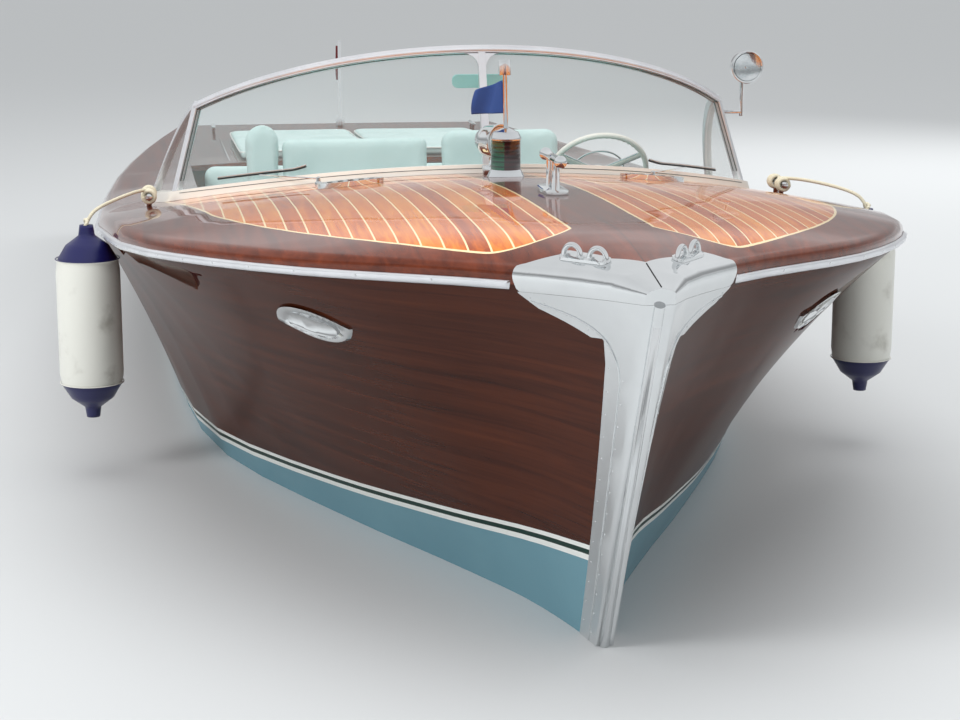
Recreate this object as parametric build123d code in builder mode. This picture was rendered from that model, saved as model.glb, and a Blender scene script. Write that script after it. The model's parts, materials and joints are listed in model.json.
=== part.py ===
from build123d import *
import os
from math import cos, hypot, radians, sin, tan

os.makedirs("parts", exist_ok=True)

# The boat's own axes: X forward, Y to port, Z up, with zero at the water amidships.
# All sizes are in millimetres and all angles in degrees.

# Hull stations, from the stem to the transom. Each is a plane that holds the
# athwartships direction and a line from the keel to the rail, so that the planes fan
# forward to the raked stem. Bulge bows the topside out, or in for a flared bow, crown
# is the deck's rise above the rail, and steps divides the way to the next station.
# x_keel, z_keel, x_rail, z_rail, y_rail, y_chine, z_chine, bulge, crown, steps
STATIONS = (
    (3470, -200, 4100, 985, 30, 17, -40, -2, 30, 4),
    (3100, -340, 3750, 962, 275, 98, -40, -30, 112, 4),
    (2750, -385, 3300, 932, 739, 245, -40, -72, 147, 4),
    (2250, -415, 2600, 878, 1120, 505, -50, -75, 182, 3),
    (1450, -430, 1600, 788, 1266, 862, -60, -40, 193, 3),
    (300, -430, 300, 645, 1318, 1000, -70, -12, 190, 2),
    (-1400, -420, -1400, 575, 1290, 1000, -90, 12, 118, 2),
    (-2800, -370, -2820, 548, 1170, 950, -100, 25, 75, 2),
    (-4000, -310, -4100, 545, 980, 850, -100, 30, 55, 1),
)
PLANK = 25
RAIL_STRIP = 16
SHOULDER = 50
SHOULDER_TURN = 76
FIT = 0.3

# Keel and stem band
KEEL_HALF = 15
KEEL_DEEP = 22
KEEL_IN = 22
STEM_IN = 80
STEM_OUT = 8

# Chrome stem plate, bow plate and rub rail
CHROME = 4
CUTWATER_WIDE = 78
CUTWATER_FLARE_Z = 830
CUTWATER_FRONT = 6
CUTWATER_RIB = 13
CUTWATER_LOW_Z = -150
CUTWATER_HEAD_Z = 935
NOSE_HALF = 24
NOSE_IN = 30
BOW_PLATE_DROP = 16
RUB_RAIL_OUT = 13
RUB_RAIL_TALL = 26

# Cockpit
COCKPIT_CENTRE = 507
COCKPIT_HALF = 930
COCKPIT_AFT = -1550
SIDE_DECK = (-1400, 900)
SOLE_Z = -140
SOLE_THICK = 20
BULKHEAD = 20
FORE_BULKHEAD_X = 1500
AFT_BULKHEAD_X = -1600
LINING_Y = 990
LINING_THICK = 12

# Windscreen: a part of a cone about an upright line at COCKPIT_CENTRE
SCREEN_R = 1173
SCREEN_BASE_Z = 1000
SCREEN_SLOPE = 0.32
SCREEN_GLASS = 8
SCREEN_FRAME = 26
SCREEN_TOP_X = 1536
SCREEN_TOP_Z = 1391
SCREEN_TOP_FALL = 0.484
SCREEN_POST_TURN = 57.5
SCREEN_TRIM = 30
SCREEN_RAIL = 28
SCREEN_POST = 1.3

# Leaf-shaped inlays of the foredeck
LEAF_INNER = 100
LEAF_TIP = (3330, 130)
LEAF_SIDE = (2500, 800)
LEAF_AFT = (1100, 1110)
LEAF_SCREEN = 1225

# Engine bay, hatches and running gear
BAY = (-3300, -1700)
BAY_HALF = 740
LID_GAP = 6
# The hinge line's height at its after and forward ends, and the depth of its leaf
HINGE_Z = (612, 661)
HINGE_LEAF = 22
COAMING = (30, 15, 18)
PAD_THICK = 45
PAD_EDGE = 50
ENGINE_Y = 410
ENGINE_LONG = 850
ENGINE_WIDE = 540
ENGINE_TALL = 540
ENGINE_AFT_X = -2600
ENGINE_BOTTOM_Z = -130
BED_THICK = 40
SHAFT_R = 16
SHAFT_FALL = 13
SHAFT_FORE = 900
BEARING = 0.1
PROP_X = -3500
PROP_Z = -430
PROP_R = 150
PROP_HUB_R = 32
PROP_HUB = 110
PROP_BLADES = 3
LOG_R = 28
LOG_FORE = (560, 900)
BRACKET_FORE = 110
RUDDER_X = -3830
RUDDER_STOCK_R = 15
RUDDER_TOP_Z = -270
RUDDER_TALL = 320
RUDDER_FORE = 65
RUDDER_AFT = 185
RUDDER_THICK = 26

# Exhaust outlets
EXHAUSTS = ((-560, 130), (560, 130))
EXHAUST_R, EXHAUST_BORE_R = 48, 40
EXHAUST_END_X, EXHAUST_LONG = -4120, 120

# Helm
HELM_Y = 600
WHEEL_R = 190
WHEEL_RIM_R = 11
WHEEL_X = 650
WHEEL_Z = 855
WHEEL_RAKE = 35
WHEEL_HUB_IN = 25
DASH_X = 1000
DASH_LOW_Z = 540
DASH_THICK = 14

SIDES = (("port", 1), ("starboard", -1))
parts = {}


def keep(name, part):
    part.label = name
    parts[name] = part
    export_step(part, "parts/" + name + ".step")


def faired(rows):
    """The stations with smooth ones between them, and each one's place along the rail."""
    places = [0.0]
    for ahead, row in zip(rows, rows[1:]):
        places.append(places[-1] + hypot(row[2] - ahead[2], row[4] - ahead[4]))
    slopes = []
    for a, b, s, t in zip(rows, rows[1:], places, places[1:]):
        slopes.append([(q - p) / (t - s) for p, q in zip(a, b)])
    tangents = []
    for n in range(1, len(rows) - 1):
        near, far = places[n] - places[n - 1], places[n + 1] - places[n]
        pairs = zip(slopes[n - 1], slopes[n])
        tangents.append([(p * far + q * near) / (near + far) for p, q in pairs])
    first = [2 * p - q for p, q in zip(slopes[0], tangents[0])]
    last = [2 * p - q for p, q in zip(slopes[-1], tangents[-1])]
    tangents = [first, *tangents, last]
    fine = []
    for n, (a, b) in enumerate(zip(rows, rows[1:])):
        gap = places[n + 1] - places[n]
        for step in range(a[-1]):
            t = step / a[-1]
            h00, h01 = 2 * t**3 - 3 * t**2 + 1, 3 * t**2 - 2 * t**3
            h10, h11 = t**3 - 2 * t**2 + t, t**3 - t**2
            row = zip(a, b, tangents[n], tangents[n + 1])
            fine.append([h00 * p + h01 * q + gap * (h10 * m + h11 * k) for p, q, m, k in row])
    fine.append(list(rows[-1]))
    return fine


LINES = faired(STATIONS)


def fan(row):
    x_keel, z_keel, x_rail, z_rail = row[:4]
    run, rise = x_rail - x_keel, z_rail - z_keel
    tall = hypot(run, rise)
    plane = Plane(origin=(x_keel, 0, z_keel), x_dir=(0, 1, 0), z_dir=(rise / tall, 0, -run / tall))
    return plane, tall, rise / tall


def outline(row, grow):
    """Half section of the hull and deck in its fan plane, grown outwards by grow."""
    y_rail, y_chine, z_chine, bulge, crown = row[4:9]
    plane, tall, upright = fan(row)
    v_chine = (z_chine - row[1]) / upright
    low = Vector(y_chine, v_chine)
    side = Vector(y_rail - y_chine, tall - v_chine)
    out_low = Vector(v_chine, -y_chine).normalized()
    out_side = Vector(side.Y, -side.X).normalized()
    bevel = (out_low + out_side) * (1 / (1 + out_low.dot(out_side)))
    chine = low + bevel * grow
    keel_v = chine.Y - chine.X * v_chine / y_chine
    if chine.X < 3:
        chine = Vector(2, v_chine)
        keel_v = v_chine / 2
    half = max(y_rail + grow, 4)
    rail = Vector(half, tall)
    bow = bulge if abs(bulge) > 1 else 1
    middle = (chine + rail) * 0.5 + out_side * bow * min(1, half / 30)
    strip = Vector(half, tall + RAIL_STRIP)
    turn = radians(SHOULDER_TURN)
    round_r = min(SHOULDER, y_rail / 2) * min(1, half / y_rail)
    bend = strip + Vector(-round_r, 0) + Vector(cos(turn / 2), sin(turn / 2)) * round_r
    shoulder = strip + Vector(-round_r, 0) + Vector(cos(turn), sin(turn)) * round_r
    sink = grow * min(1, crown / 80)
    shoulder += Vector(0, sink)
    bend += Vector(0, sink / 2)
    top = Vector(0, max(tall + crown / upright + grow, shoulder.Y + 2))
    return plane, Vector(0, keel_v), chine, middle, rail, strip, bend, shoulder, top


def flip(point):
    return Vector(-point.X, point.Y)


def body(grow, reach=0, rows=LINES):
    """Hull and deck in one over some of its rows, grown by grow, with its ends moved out by reach."""
    with BuildPart() as solid:
        for row in rows:
            plane, keel, chine, middle, rail, strip, bend, shoulder, top = outline(row, grow)
            end = reach * ((row is LINES[0]) - (row is LINES[-1]))
            ahead = Vector(end / plane.z_dir.X, 0, 0)
            with BuildSketch(Plane(plane.origin + ahead, x_dir=plane.x_dir, z_dir=plane.z_dir)):
                with BuildLine():
                    Line(keel, chine)
                    ThreePointArc(chine, middle, rail)
                    Line(rail, strip)
                    ThreePointArc(strip, bend, shoulder)
                    ThreePointArc(shoulder, top, flip(shoulder))
                    ThreePointArc(flip(shoulder), flip(bend), flip(strip))
                    Line(flip(strip), flip(rail))
                    ThreePointArc(flip(rail), flip(middle), flip(chine))
                    Line(flip(chine), keel)
                make_face()
        loft(ruled=True)
    return solid.part


def slab(x_low, x_high, y_low, y_high, z_low, z_high):
    with BuildPart() as block:
        with BuildSketch(Plane.XY.offset(z_low)):
            with Locations(((x_low + x_high) / 2, (y_low + y_high) / 2)):
                Rectangle(x_high - x_low, y_high - y_low)
        extrude(amount=z_high - z_low)
    return block.part


def side_slab(x_low, x_high, side, y_near, y_far, z_low, z_high):
    low, high = sorted((side * y_near, side * y_far))
    return slab(x_low, x_high, low, high, z_low, z_high)


def side_region(points, width=3000):
    """A prism across the boat over an outline seen from the side."""
    with BuildPart() as region:
        with BuildSketch(Plane.XZ):
            with BuildLine():
                Polyline(*points, close=True)
            make_face()
        extrude(amount=width, both=True)
    return region.part


# How far the lines that part the planking run on past the bow and the stern
SPLIT_REACH = 700


def split_line(points, lift, level):
    """The outline of all that lies between a side curve and a level."""
    first, second, last, before = points[0], points[1], points[-1], points[-2]
    lead = tuple(a + (a - b) * SPLIT_REACH / (first[0] - second[0]) for a, b in zip(first, second))
    tail = tuple(a + (a - b) * SPLIT_REACH / (before[0] - last[0]) for a, b in zip(last, before))
    curve = [(x, z + lift) for x, z in (lead, *points, tail)]
    return [*curve, (tail[0], level), (lead[0], level)]


def chine_point(row):
    reach = (row[6] - row[1]) / (row[3] - row[1])
    return (row[0] + (row[2] - row[0]) * reach, row[6])


rail_points = [(row[2], row[3] + RAIL_STRIP / 2) for row in LINES]
chine_points = [chine_point(row) for row in LINES]

outer = body(0)
outer_clear = body(FIT)
inner = body(-PLANK, reach=5)
inner_clear = body(-PLANK - FIT, reach=5)
BOW_ROWS, SCOOP_ROWS, SCREEN_ROWS = LINES[:10], LINES[3:11], LINES[12:20]
bow_clear = body(FIT, reach=0, rows=BOW_ROWS)
screen_clear = body(FIT, rows=SCREEN_ROWS)
below_rail = side_region(split_line(rail_points, 0, -3000))
above_rail = side_region(split_line(rail_points, FIT, 3000))
above_chine = side_region(split_line(chine_points, 2, 3000))
below_chine = side_region(split_line(chine_points, 2 - FIT, -3000))

with BuildPart() as planking:
    add(outer)
    add(inner, mode=Mode.SUBTRACT)

# Shaft line of each engine, from the propeller forward and up into the hull
shaft_way = Vector(cos(radians(SHAFT_FALL)), 0, sin(radians(SHAFT_FALL)))


def shaft_plane(side, ahead):
    """A plane square to the shaft, ahead of the propeller's middle."""
    start = Vector(PROP_X, side * ENGINE_Y, PROP_Z) + shaft_way * ahead
    return Plane(origin=start, x_dir=(0, 1, 0), z_dir=shaft_way)


for word, side in SIDES:
    with BuildPart() as topside:
        add(planking.part)
        add(side_slab(-6000, 6000, side, KEEL_HALF + FIT, 3000, -3000, 3000), mode=Mode.INTERSECT)
        add(below_rail, mode=Mode.INTERSECT)
        add(above_chine, mode=Mode.INTERSECT)
    keep("topside_" + word, topside.part)
    with BuildPart() as bottom:
        add(planking.part)
        add(side_slab(-6000, 6000, side, KEEL_HALF + FIT, 3000, -3000, 3000), mode=Mode.INTERSECT)
        add(below_chine, mode=Mode.INTERSECT)
        with BuildSketch(shaft_plane(side, 300)):
            Circle(LOG_R + FIT)
        extrude(amount=700, mode=Mode.SUBTRACT)
        with BuildSketch(Plane.XY.offset(-400)):
            with Locations((RUDDER_X, side * ENGINE_Y)):
                Circle(RUDDER_STOCK_R + 3)
        extrude(amount=400, mode=Mode.SUBTRACT)
    keep("bottom_" + word, bottom.part)

# Keel and stem band between the two sides' planking
stem_low, stem_high = Vector(*STATIONS[0][0:2]), Vector(*STATIONS[0][2:4])
stem_up = (stem_high - stem_low).normalized()
stem_out = Vector(stem_up.Y, -stem_up.X)


def keel_band(grow):
    under = [(row[0], row[1] - KEEL_DEEP - grow) for row in LINES[1:]]
    over = [(row[0], row[1] + KEEL_IN) for row in LINES[3:]]
    front = [stem_high + stem_up * 60, stem_low]
    front = [point + stem_out * (STEM_OUT + grow) for point in front]
    back = [stem_low - stem_out * STEM_IN, stem_high + stem_up * 60 - stem_out * STEM_IN]
    band = [(p.X, p.Y) for p in front] + under + over[::-1] + [(p.X, p.Y) for p in back]
    return side_region(band, KEEL_HALF + grow)


with BuildPart() as keel:
    add(keel_band(0))
    add(below_rail, mode=Mode.INTERSECT)
keep("keel", keel.part)

# Transom board, inside the planking's ends
with BuildPart() as transom:
    with BuildSketch(fan(STATIONS[-1])[0]):
        Rectangle(4000, 4000)
    extrude(amount=PLANK + 5)
    add(inner_clear, mode=Mode.INTERSECT)
    with BuildSketch(Plane.YZ.offset(EXHAUST_END_X)):
        with Locations(*EXHAUSTS):
            Circle(EXHAUST_R + FIT)
    extrude(amount=2 * EXHAUST_LONG, mode=Mode.SUBTRACT)
keep("transom", transom.part)

# Deck: covering boards and king plank, inlays, side decks, aft deck and hatch lids
with BuildPart() as deck:
    add(planking.part)
    add(above_rail, mode=Mode.INTERSECT)


def cockpit_prism(grow):
    with BuildPart() as prism:
        with BuildSketch(Plane.XY):
            with Locations((COCKPIT_CENTRE, 0)):
                Circle(COCKPIT_HALF + grow)
            with Locations(((COCKPIT_CENTRE + COCKPIT_AFT) / 2, 0)):
                Rectangle(COCKPIT_CENTRE - COCKPIT_AFT + 2 * grow, 2 * COCKPIT_HALF + 2 * grow)
        extrude(amount=2000)
    return prism.part


def leaf_prism(side, grow):
    with BuildPart() as prism:
        with BuildSketch(Plane.XY):
            with BuildLine():
                tip = (LEAF_TIP[0], side * (LEAF_TIP[1]))
                inner_fore = (LEAF_TIP[0], side * LEAF_INNER)
                inner_aft = (700, side * LEAF_INNER)
                outer_aft = (LEAF_AFT[0], side * LEAF_AFT[1])
                ThreePointArc(tip, (LEAF_SIDE[0], side * LEAF_SIDE[1]), outer_aft)
                Line(outer_aft, inner_aft)
                Line(inner_aft, inner_fore)
                Line(inner_fore, tip)
            make_face()
            if grow:
                offset(amount=grow, kind=Kind.INTERSECTION)
            with Locations((COCKPIT_CENTRE, 0)):
                Circle(LEAF_SCREEN - grow, mode=Mode.SUBTRACT)
        extrude(amount=2000)
    return prism.part


with BuildPart() as foredeck:
    add(deck.part)
    add(slab(SIDE_DECK[1], 6000, -3000, 3000, 0, 3000), mode=Mode.INTERSECT)
    add(cockpit_prism(0), mode=Mode.SUBTRACT)
    for word, side in SIDES:
        add(leaf_prism(side, FIT), mode=Mode.SUBTRACT)
keep("foredeck", foredeck.part)

for word, side in SIDES:
    with BuildPart() as inlay:
        add(deck.part)
        add(leaf_prism(side, 0), mode=Mode.INTERSECT)
    keep("inlay_" + word, inlay.part)
    with BuildPart() as side_deck:
        add(deck.part)
        reach = (SIDE_DECK[0], SIDE_DECK[1] - FIT)
        add(side_slab(*reach, side, 100, 3000, 0, 3000), mode=Mode.INTERSECT)
        add(cockpit_prism(0), mode=Mode.SUBTRACT)
    keep("side_deck_" + word, side_deck.part)

with BuildPart() as aft_deck:
    add(deck.part)
    add(slab(-6000, SIDE_DECK[0] - FIT, -3000, 3000, 0, 3000), mode=Mode.INTERSECT)
    add(cockpit_prism(0), mode=Mode.SUBTRACT)
    add(slab(*BAY, -BAY_HALF, BAY_HALF, 0, 3000), mode=Mode.SUBTRACT)
keep("aft_deck", aft_deck.part)

pad_outer = body(PAD_THICK)
for word, side in SIDES:
    lid_ends = (BAY[0] + LID_GAP, BAY[1] - LID_GAP)
    with BuildPart() as lid:
        add(deck.part)
        add(side_slab(*lid_ends, side, LID_GAP / 2, BAY_HALF - LID_GAP, 0, 3000), mode=Mode.INTERSECT)
    keep("hatch_lid_" + word, lid.part)
    pad_ends = (BAY[0] + PAD_EDGE, BAY[1] - PAD_EDGE)
    with BuildPart() as pad:
        add(side_slab(*pad_ends, side, LID_GAP, BAY_HALF - PAD_EDGE, 300, 1200))
        add(pad_outer, mode=Mode.INTERSECT)
        add(outer_clear, mode=Mode.SUBTRACT)
    keep("sun_pad_" + word, pad.part)

# Frame under the deck round the hatches, with a beam under the lids' meeting edges
with BuildPart() as coaming:
    outside, ledge, thick = COAMING
    add(slab(BAY[0] - outside, BAY[1] + outside, -BAY_HALF - outside, BAY_HALF + outside, 0, 3000))
    for word, side in SIDES:
        opening = (BAY[0] + LID_GAP + ledge, BAY[1] - LID_GAP - ledge, side, ledge, BAY_HALF - LID_GAP - ledge)
        add(side_slab(*opening, 0, 3000), mode=Mode.SUBTRACT)
    add(inner_clear, mode=Mode.INTERSECT)
    add(body(-PLANK - FIT - thick), mode=Mode.SUBTRACT)
keep("hatch_coaming", coaming.part)

# A long hinge in the gap along each lid's outer edge
with BuildPart() as hinges:
    for word, side in SIDES:
        fore = Vector(BAY[1] - LID_GAP, side * (BAY_HALF - LID_GAP / 2), HINGE_Z[1])
        aft = Vector(BAY[0] + LID_GAP, side * (BAY_HALF - LID_GAP / 2), HINGE_Z[0])
        knuckle = LID_GAP / 2 - FIT
        with BuildSketch(Plane(origin=aft, x_dir=(0, 1, 0), z_dir=fore - aft)):
            Circle(knuckle)
            with Locations((0, -HINGE_LEAF / 2)):
                Rectangle(2 * knuckle, HINGE_LEAF)
        extrude(amount=(fore - aft).length)
keep("hatch_hinges", hinges.part)

# Chrome stem plate and bow plate, each fitted round the planking
bow_fill = body(FIT, reach=STEM_OUT + FIT, rows=BOW_ROWS)
with BuildPart() as bow_skin:
    add(body(FIT + CHROME, reach=STEM_OUT + FIT + CUTWATER_FRONT, rows=BOW_ROWS))
    add(bow_fill, mode=Mode.SUBTRACT)


def up_stem(z, out):
    """A point beside the stem line at a height, and how far out it lies."""
    point = stem_low + stem_up * ((z - stem_low.Y) / stem_up.Y) + stem_out * out
    return point.X, point.Y


# The plate's after edge runs up beside the stem and flares out aft under the rail
CUTWATER_FLARE = ((3905, 868), (3850, 895), (3795, 918), (3768, 950), (3768, 1300))
cutwater_outline = [(4600, CUTWATER_LOW_Z), up_stem(CUTWATER_LOW_Z, -CUTWATER_WIDE)]
cutwater_outline += [up_stem(CUTWATER_FLARE_Z - 60, -CUTWATER_WIDE)]
cutwater_outline += [up_stem(CUTWATER_FLARE_Z, -CUTWATER_WIDE - 8)]
cutwater_outline += [*CUTWATER_FLARE, (4600, 1300)]
nose_out = STEM_OUT + FIT + CUTWATER_FRONT
nose_outline = [up_stem(CUTWATER_LOW_Z, nose_out), up_stem(CUTWATER_LOW_Z, -NOSE_IN)]
nose_outline += [up_stem(CUTWATER_HEAD_Z, -NOSE_IN), up_stem(CUTWATER_HEAD_Z, nose_out)]
plate_split = -BOW_PLATE_DROP
with BuildPart() as cutwater:
    add(bow_skin.part)
    add(side_region(cutwater_outline), mode=Mode.INTERSECT)
    add(side_region(split_line(rail_points, plate_split - FIT, -3000)), mode=Mode.INTERSECT)
    add(side_region(nose_outline, NOSE_HALF))
    rib_foot = Vector(*up_stem(CUTWATER_LOW_Z, nose_out))
    rib_head = Vector(*up_stem(CUTWATER_HEAD_Z, nose_out))
    rib_start = (rib_foot.X, 0, rib_foot.Y)
    with BuildSketch(Plane(origin=rib_start, x_dir=(0, 1, 0), z_dir=(stem_up.X, 0, stem_up.Y))):
        Circle(CUTWATER_RIB)
    extrude(amount=(rib_head - rib_foot).length)
    add(bow_fill, mode=Mode.SUBTRACT)
    add(keel_band(FIT), mode=Mode.SUBTRACT)
keep("cutwater", cutwater.part)

BOW_PLATE_REAR = ((3770, 400), (3770, 262), (3812, 167), (3905, 92), (3971, 0))
with BuildPart() as bow_plate:
    add(bow_skin.part)
    with BuildSketch(Plane.XY, mode=Mode.PRIVATE) as plate_plan:
        with BuildLine():
            rear = list(BOW_PLATE_REAR) + [(x, -y) for x, y in BOW_PLATE_REAR[-2::-1]]
            Polyline(*rear, (4600, -400), (4600, 400), close=True)
        make_face()
    extrude(plate_plan.sketch, amount=2000, mode=Mode.INTERSECT)
    add(side_region(split_line(rail_points, plate_split, 3000)), mode=Mode.INTERSECT)
    add(bow_clear, mode=Mode.SUBTRACT)
keep("bow_plate", bow_plate.part)

# Skene chocks on the bow plate: a foot with two bowed horns, open between them for the rope
CHOCKS = ((3883, 122, 36), (3883, -122, -36))
CHOCK_FOOT = (150, 30, 5)
CHOCK_Z = 1050
CHOCK_HORN = (27, 6)
CHOCK_HORN_OUT = 40
plate_top = body(FIT + CHROME + FIT, rows=BOW_ROWS)
with BuildPart() as chocks:
    for x, y, turn in CHOCKS:
        along = Vector(cos(radians(turn)), -sin(radians(turn)), 0)
        foot_long, foot_wide, foot_thick = CHOCK_FOOT
        with BuildPart(mode=Mode.PRIVATE) as chock:
            with BuildSketch(Plane(origin=(x, y, CHOCK_Z - 60), x_dir=along, z_dir=(0, 0, 1))):
                SlotOverall(foot_long, foot_wide)
            extrude(amount=120)
            add(body(FIT + CHROME + FIT + foot_thick, rows=BOW_ROWS), mode=Mode.INTERSECT)
            for way in (-1, 1):
                big, thin = CHOCK_HORN
                foot = Vector(x, y, CHOCK_Z) + along * (way * CHOCK_HORN_OUT)
                with BuildSketch(Plane(origin=foot, x_dir=along, z_dir=(0, 0, 1))):
                    with Locations((way * big, 0)):
                        Circle(thin)
                revolve(axis=Axis(foot, Vector(-along.Y, along.X, 0) * way), revolution_arc=-205)
                with BuildSketch(Plane(origin=foot + along * (way * big) - Vector(0, 0, 40), z_dir=(0, 0, 1))):
                    Circle(thin + 1)
                extrude(amount=41)
            add(plate_top, mode=Mode.SUBTRACT)
        add(chock.part)
keep("bow_chocks", chocks.part)

# Rub rail along each side, half round
with BuildPart() as rub_rails:
    for word, side in SIDES:
        with BuildPart(mode=Mode.PRIVATE) as strip_rail:
            for row in LINES[STATIONS[0][-1]:]:
                plane, tall, upright = fan(row)
                near = row[4] + FIT
                mid_v = tall + RAIL_STRIP / 2
                low = (side * near, mid_v - RUB_RAIL_TALL / 2)
                high = (side * near, mid_v + RUB_RAIL_TALL / 2)
                with BuildSketch(plane):
                    with BuildLine():
                        Line(low, high)
                        ThreePointArc(high, (side * (near + RUB_RAIL_OUT), mid_v), low)
                    make_face()
            loft(ruled=True)
        add(strip_rail.part - outer_clear)
keep("rub_rails", rub_rails.part)

# Bulkheads, sole and side linings of the cockpit
with BuildPart() as fore_bulkhead:
    add(slab(FORE_BULKHEAD_X, FORE_BULKHEAD_X + BULKHEAD, -2000, 2000, -1000, 2000))
    add(inner_clear, mode=Mode.INTERSECT)
keep("fore_bulkhead", fore_bulkhead.part)
with BuildPart() as aft_bulkhead:
    add(slab(AFT_BULKHEAD_X, AFT_BULKHEAD_X + BULKHEAD, -2000, 2000, -1000, 2000))
    add(inner_clear, mode=Mode.INTERSECT)
keep("aft_bulkhead", aft_bulkhead.part)
cockpit_fore = FORE_BULKHEAD_X - FIT
cockpit_aft = AFT_BULKHEAD_X + BULKHEAD + FIT
with BuildPart() as sole:
    add(slab(cockpit_aft, cockpit_fore, -2000, 2000, SOLE_Z - SOLE_THICK, SOLE_Z))
    add(inner_clear, mode=Mode.INTERSECT)
keep("cockpit_sole", sole.part)
with BuildPart() as linings:
    for word, side in SIDES:
        lining = (side, LINING_Y, LINING_Y + LINING_THICK, SOLE_Z + FIT, 2000)
        add(side_slab(cockpit_aft, DASH_X - FIT, *lining) & inner_clear)
keep("side_linings", linings.part)

# Dashboard: an upright panel and a crowned shelf under the windscreen
DASH_ROWS = LINES[13:19]
with BuildPart() as dashboard:
    add(body(-PLANK - FIT, rows=DASH_ROWS))
    with BuildSketch(Plane.XY, mode=Mode.PRIVATE) as shelf_plan:
        with Locations((COCKPIT_CENTRE, 0)):
            Circle(COCKPIT_HALF + 60)
        with Locations((DASH_X - 2000, 0)):
            Rectangle(4000, 4000, mode=Mode.SUBTRACT)
    extrude(shelf_plan.sketch, amount=2000, mode=Mode.INTERSECT)
    add(body(-PLANK - FIT - DASH_THICK, rows=DASH_ROWS), mode=Mode.SUBTRACT)
    add(slab(DASH_X, DASH_X + DASH_THICK, -2000, 2000, DASH_LOW_Z, 2000) & inner_clear)
keep("dashboard", dashboard.part)

# Gauges on the panel in front of the helm
# y, z, radius
GAUGES = ((600, 755, 52), (455, 765, 38), (745, 735, 38), (370, 770, 26), (300, 775, 26))
GAUGE_DEEP = 9
with BuildPart() as gauges:
    for y, z, radius in GAUGES:
        with BuildSketch(Plane.YZ.offset(DASH_X - FIT - GAUGE_DEEP)):
            with Locations((y, z)):
                Circle(radius)
        extrude(amount=GAUGE_DEEP)
keep("gauges", gauges.part)

ROLL_UP, ROLL_WIDE = 22, 62
with BuildPart() as dash_roll:
    add(body(ROLL_UP, rows=DASH_ROWS))
    with BuildSketch(Plane.XY, mode=Mode.PRIVATE) as roll_plan:
        with Locations((COCKPIT_CENTRE, 0)):
            Circle(COCKPIT_HALF - FIT)
            Circle(COCKPIT_HALF - ROLL_WIDE, mode=Mode.SUBTRACT)
        with Locations((DASH_X - 2000, 0)):
            Rectangle(4000, 4000, mode=Mode.SUBTRACT)
    extrude(roll_plan.sketch, amount=2000, mode=Mode.INTERSECT)
    add(body(-PLANK, rows=DASH_ROWS), mode=Mode.SUBTRACT)
keep("dash_roll", dash_roll.part)


# Windscreen
def screen_r(z):
    return SCREEN_R - SCREEN_SLOPE * (z - SCREEN_BASE_Z)


def cone_shell(low, high, turn):
    """A wall of the windscreen's cone between two offsets, over a turn to each side."""
    start = Plane(origin=(COCKPIT_CENTRE, 0, 0), x_dir=(cos(radians(turn)), -sin(radians(turn)), 0),
                  z_dir=(-sin(radians(turn)), -cos(radians(turn)), 0))
    z_low, z_high = 700, 1500
    with BuildPart() as shell:
        with BuildSketch(start):
            with BuildLine():
                Polyline((screen_r(z_low) + low, z_low), (screen_r(z_low) + high, z_low),
                         (screen_r(z_high) + high, z_high), (screen_r(z_high) + low, z_high), close=True)
            make_face()
        revolve(axis=Axis((COCKPIT_CENTRE, 0, 0), (0, 0, 1)), revolution_arc=2 * turn)
    return shell.part


def under_top(drop):
    far = 3000
    top = [(SCREEN_TOP_X + far, SCREEN_TOP_Z + far * SCREEN_TOP_FALL - drop),
           (SCREEN_TOP_X - far, SCREEN_TOP_Z - far * SCREEN_TOP_FALL - drop)]
    return side_region([*top, (SCREEN_TOP_X - far, -3000), (SCREEN_TOP_X + far, -3000)])


def wedge(turn_low, turn_high):
    """All that lies between two directions from the windscreen's centre."""
    reach = 3000
    with BuildPart() as sector:
        with BuildSketch(Plane.XY):
            with BuildLine():
                Polyline((COCKPIT_CENTRE, 0),
                         *[(COCKPIT_CENTRE + reach * cos(radians(t)), reach * sin(radians(t)))
                           for t in (turn_low, (turn_low + turn_high) / 2, turn_high)], close=True)
            make_face()
        extrude(amount=2000)
    return sector.part


# Side wings of the windscreen: flat panels that run aft from the corner posts down to the deck
post_way = (cos(radians(SCREEN_POST_TURN)), sin(radians(SCREEN_POST_TURN)))
WING_FOOT_Z, WING_HEAD_Z = 885, 1190
WING_TAIL = (430, 1108, 760)
WING_TOP_BOW = (790, 1075)


def post_point(z):
    return Vector(COCKPIT_CENTRE + screen_r(z) * post_way[0], screen_r(z) * post_way[1], z)


wing_foot, wing_head = post_point(WING_FOOT_Z), post_point(WING_HEAD_Z)


def wing_plate(side, low, high):
    """A flat plate in the wing's plane, between two offsets out from it."""
    turned = [Vector(point.X, side * point.Y, point.Z) for point in (wing_foot, wing_head, Vector(*WING_TAIL))]
    out = (turned[1] - turned[0]).cross(turned[2] - turned[0]).normalized()
    out = out * (side if out.Y > 0 else -side)
    with BuildPart() as plate:
        with BuildSketch(Plane(origin=turned[0] + out * low, z_dir=out)):
            Rectangle(4000, 4000)
        extrude(amount=high - low)
    return plate.part


def wing_region(margin, ahead):
    """The wing's outline from the side: straight up the post, and bowed down to the deck aft."""
    lean = (wing_head - wing_foot) * (1 / (wing_head.Z - wing_foot.Z))
    low, high = wing_foot - lean * 300, wing_head - lean * margin
    with BuildPart() as region:
        with BuildSketch(Plane.XZ):
            with BuildLine():
                top = (high.X + ahead, high.Z)
                Line((low.X + ahead, low.Z), top)
                ThreePointArc(top, (WING_TOP_BOW[0] + margin / 3, WING_TOP_BOW[1] - margin),
                              (WING_TAIL[0] + margin, WING_TAIL[2]))
                Line((WING_TAIL[0] + margin, WING_TAIL[2]), (WING_TAIL[0] + margin, low.Z))
                Line((WING_TAIL[0] + margin, low.Z), (low.X + ahead, low.Z))
            make_face()
        extrude(amount=3000, both=True)
    return region.part


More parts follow.
